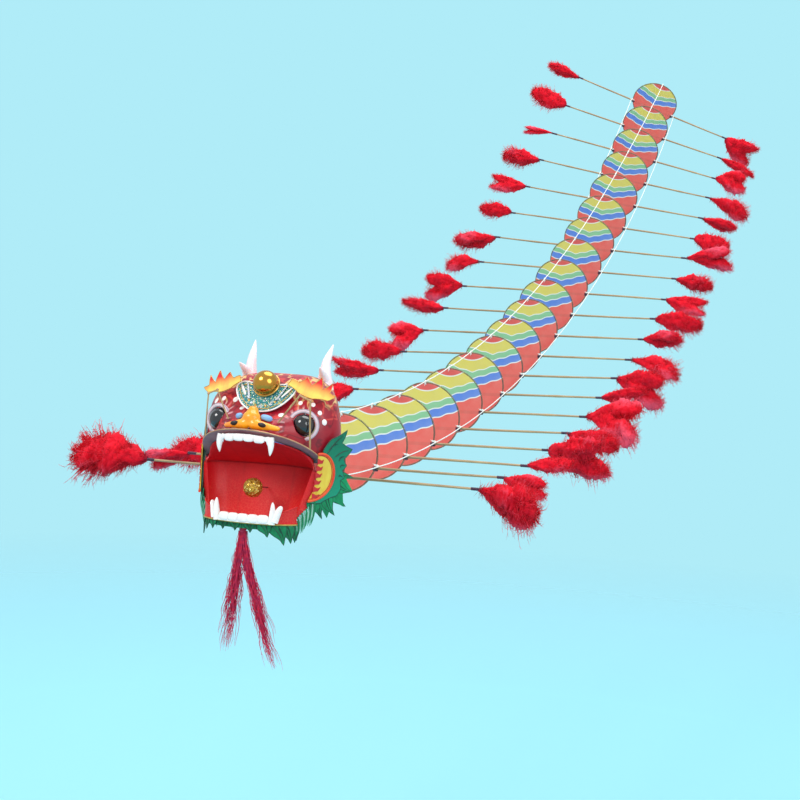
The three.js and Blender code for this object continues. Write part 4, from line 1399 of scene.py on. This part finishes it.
def makeMane():
    def mane():
        made = Shape()
        corners = [(20, -8), (34, -4), (44, -20), (32, -20), (34, -38), (22, -31), (14, -50), (6, -37),
                   (-6, -50), (-7, -36), (4, -28)]
        made.card(flames(corners, 0.05, 4), 1.0, 0, 0.2)
        blades = [((22, -6), (44, -6), 5.6, 2), ((24, -12), (44, -20), 6.0, -3),
                  ((20, -18), (37, -37), 7.0, -3), ((12, -24), (24, -47), 7.4, -3),
                  ((3, -27), (9, -51), 7.0, -3), ((-4, -28), (-5, -48), 5.6, -2)]
        for k, (root, tip, wide, curl) in enumerate(blades):
            before = len(made.points)
            leaf(made, root, tip, wide, curl)
            for n in range(before, len(made.points)):
                x, y, z = made.points[n]
                made.points[n] = (x, y, z + 0.3 * (k % 2) - 0.2)
        return made
    pair("mane_leaves", ["mane"], mane, [maneGreen, darkEdge], lift=-1.9)


fringe = {
    "thick": 0.7, "collar": 5.5,
    # where along the jaw in degrees, how long, how wide, how far the tip leans
    "leaves": [(-82, 19, 6.5, -2), (-64, 12, 6, 2), (-46, 10, 6, 2), (-28, 9, 6, 2), (-10, 9, 6, 2),
               (8, 10, 6.5, 3), (26, 14, 8, 6), (42, 22, 9.5, 11), (58, 20, 8, 7), (72, 19, 7, 4),
               (84, 17, 6.5, 0)],
}


def jawPlane(turn, inset):  # stands on the jaw's edge, x along it and y up
    out = Vector((math.sin(turn) / jaw["half"], -math.cos(turn) / jaw["front"], 0)).normalized()
    along = Vector((-out.y, out.x, 0))
    place = Matrix((along, Vector((0, 0, 1)), along.cross(Vector((0, 0, 1))))).transposed().to_4x4()
    return Matrix.Translation(jawEdge(turn, inset)) @ place


def makeFringe():
    made = Shape()
    for n, (degrees, drop, wide, lean) in enumerate(fringe["leaves"]):
        tilt = Matrix.Rotation(math.radians(-6), 4, "X")
        place = jawPlane(math.radians(degrees), 2.4 + 0.5 * (n % 2)) @ tilt
        blade = Shape()
        leaf(blade, (0, 1.0), (lean, -drop), wide, 1.2 + 0.12 * lean, 0, 1, fringe["thick"])
        made.put([place @ Vector(p) for p in blade.points], blade.faces)
        made.finishes[-len(blade.faces):] = blade.finishes

    def collar(u, v):
        return jawEdge(math.radians(170 * u - 85), 2.6) + Vector((0, 0, -0.4 - v * fringe["collar"]))
    made.skin(collar, 60, 2, 0.3, -0.3)
    for k in range(27):  # painted ribs of the collar
        turn = math.radians(-80 + 160 * k / 26)
        place = jawPlane(turn, 2.2)
        rib = [place @ Vector((0.3 * math.sin(k), -0.8, 0)), place @ Vector((0.5, -5.6 - 2 * (k % 2), 0))]
        made.tube(rib, [0.5, 0.25], 5, 1)
    single("chin_leaves", "chin_fringe", made, [maneGreen, darkEdge])


cheek = {"crease": 0.42, "hinge": (68.5, -129.5), "top": 2, "foot": -31, "strips": 10, "hang": 25}


def cheekPoint(side, u, v):  # from the liner's edge out to the ear's foot
    edge = linerPoint(0.5 + 0.5 * side, cheek["crease"] + (1 - cheek["crease"]) * v)
    height = cheek["top"] + (cheek["foot"] - cheek["top"]) * v
    return edge.lerp(Vector((side * cheek["hinge"][0], cheek["hinge"][1], height)), u)


def makeCheeks():
    made = Shape()
    for side in (-1, 1):
        made.skin(lambda u, v: cheekPoint(side, u, v), 8, 12, 0.5, -0.5)
    piece = made.piece("cheeks", [mouthRed], "head")
    strips = Shape()
    for side in (-1, 1):
        for k in range(cheek["strips"]):  # pale paper strips hang from the cheek's lower edge
            share = k / (cheek["strips"] - 1)
            top = cheekPoint(side, share, 0.97) + Vector((side * 0.6, -1.4, 0))
            drop = cheek["hang"] * (0.75 + 0.3 * share + 0.08 * math.sin(5 * k))
            foot = top + Vector((side * (2 - 5 * share), -1.5, -drop))
            path = []
            for t in range(6):
                bulge = side * 1.5 * math.sin(math.pi * t / 5)
                path.append(top.lerp(foot, t / 5) + Vector((bulge, 0, 0)))
            strips.tube(path, [0.9, 1.2, 1.2, 1.1, 0.8, 0.25], 6, k % 2, False, 0.5)
    piece = strips.piece("cheek_strips", [stripCard, maneGreen], "head")


def makeStruts():
    def struts():
        made = Shape()
        outer, inner = Vector((62, -140, 79)), Vector((50, -142, 84))
        for a, b in ((outer, Vector((64, -139.5, 26.5))), (inner, Vector((30, -152, 53))), (outer, inner)):
            path = [a.lerp(b, k / 8) + Vector((0, -0.5 * math.sin(math.pi * k / 8), 0)) for k in range(9)]
            made.tube(path, [1.05 + 0.1 * math.sin(3 * k) for k in range(9)], 7, 0, False, 0.7)
        made.blob(tuple(outer), (1.6, 1.5, 1.6), sides=10, rings=8, finish=1)
        made.blob(tuple(inner), (1.6, 1.5, 1.6), sides=10, rings=8, finish=1)
        return made
    pair("eye_struts", ["face_sticks"], struts, [strutBamboo, giltCard], smooth=50)


beard = {"top": (-4, -156, -66), "ends": [(-19, -156, -204), (43, -156, -221)], "threads": 120, "crinkle": 20}


def makeBeard():
    made = Shape()
    pick = random.Random(12)
    top = Vector(beard["top"])
    made.blob(tuple(top), (4.2, 3.8, 3.9), sides=14, rings=10)
    coil(made, top + Vector((-3.4, 0, -3)), top + Vector((3.4, 0, -3)), 2.0, 5, 0.5)
    for end in beard["ends"]:
        end = Vector(end)
        for n in range(beard["threads"]):
            spread = 1.5 + 11 * pick.random() ** 1.6
            turn = pick.uniform(0, 2 * math.pi)
            share = pick.uniform(0.5, 1.0)
            root = top + Vector((pick.uniform(-4.5, 4.5), pick.uniform(-2.4, 2.4), -2))
            tip = top.lerp(end, share) + Vector((math.cos(turn), 0.7 * math.sin(turn), 0)) * spread
            phase, wave = pick.uniform(0, 6), pick.uniform(0.7, 2.2)
            path = []
            for k in range(17):
                t = k / 16
                kink = Vector((math.sin(phase + beard["crinkle"] * t), math.cos(phase * 2 + 17 * t), 0))
                ease = t ** 1.35 if end.x > 0 else t
                here = root.lerp(tip, t)
                here.x = root.x + (tip.x - root.x) * ease
                path.append(here + kink * wave * min(1, 3 * t))
            made.tube(path, [0.3] * 14 + [0.26, 0.2, 0.1], 3)
    single("beard_threads", "beard_tassel", made, [beardRed], "beard", smooth=60)


def makeRest():
    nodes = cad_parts
    carried = {
        "left_neck_spar": sparBamboo, "right_neck_spar": sparBamboo, "head_rim": strutBamboo,
        "beard_staple": beardRed, "left_eye_pin": wireSteel, "right_eye_pin": wireSteel,
        "mouth_pearl_wire": wireSteel,
    }
    for node, paint in carried.items():
        nodes[node].data.materials.clear()
        nodes[node].data.materials.append(paint)
    pearl = Shape()

    def lumpy(p):
        return 0.05 * noise.noise(p * 0.55) + 0.03 * noise.noise(p * 1.7)
    pearl.blob((0, -144, -21), (10.7, 10.7, 10.7), sides=44, rings=28, lump=lumpy)
    single("glitter_pearl", "mouth_pearl", pearl, [pearlGlitter], "mouth_pearl", smooth=12)


def makeHead():
    skull = makeSkull()
    makeDots(skull)
    makeMouth()
    makeTeeth()
    makeForehead()
    makeNose()
    makeBrows()
    makeHorns()
    makeEyes()
    makeEars()
    makeMane()
    makeFringe()
    makeCheeks()
    makeStruts()
    makeBeard()
    makeRest()


makeHead()
print("head made")
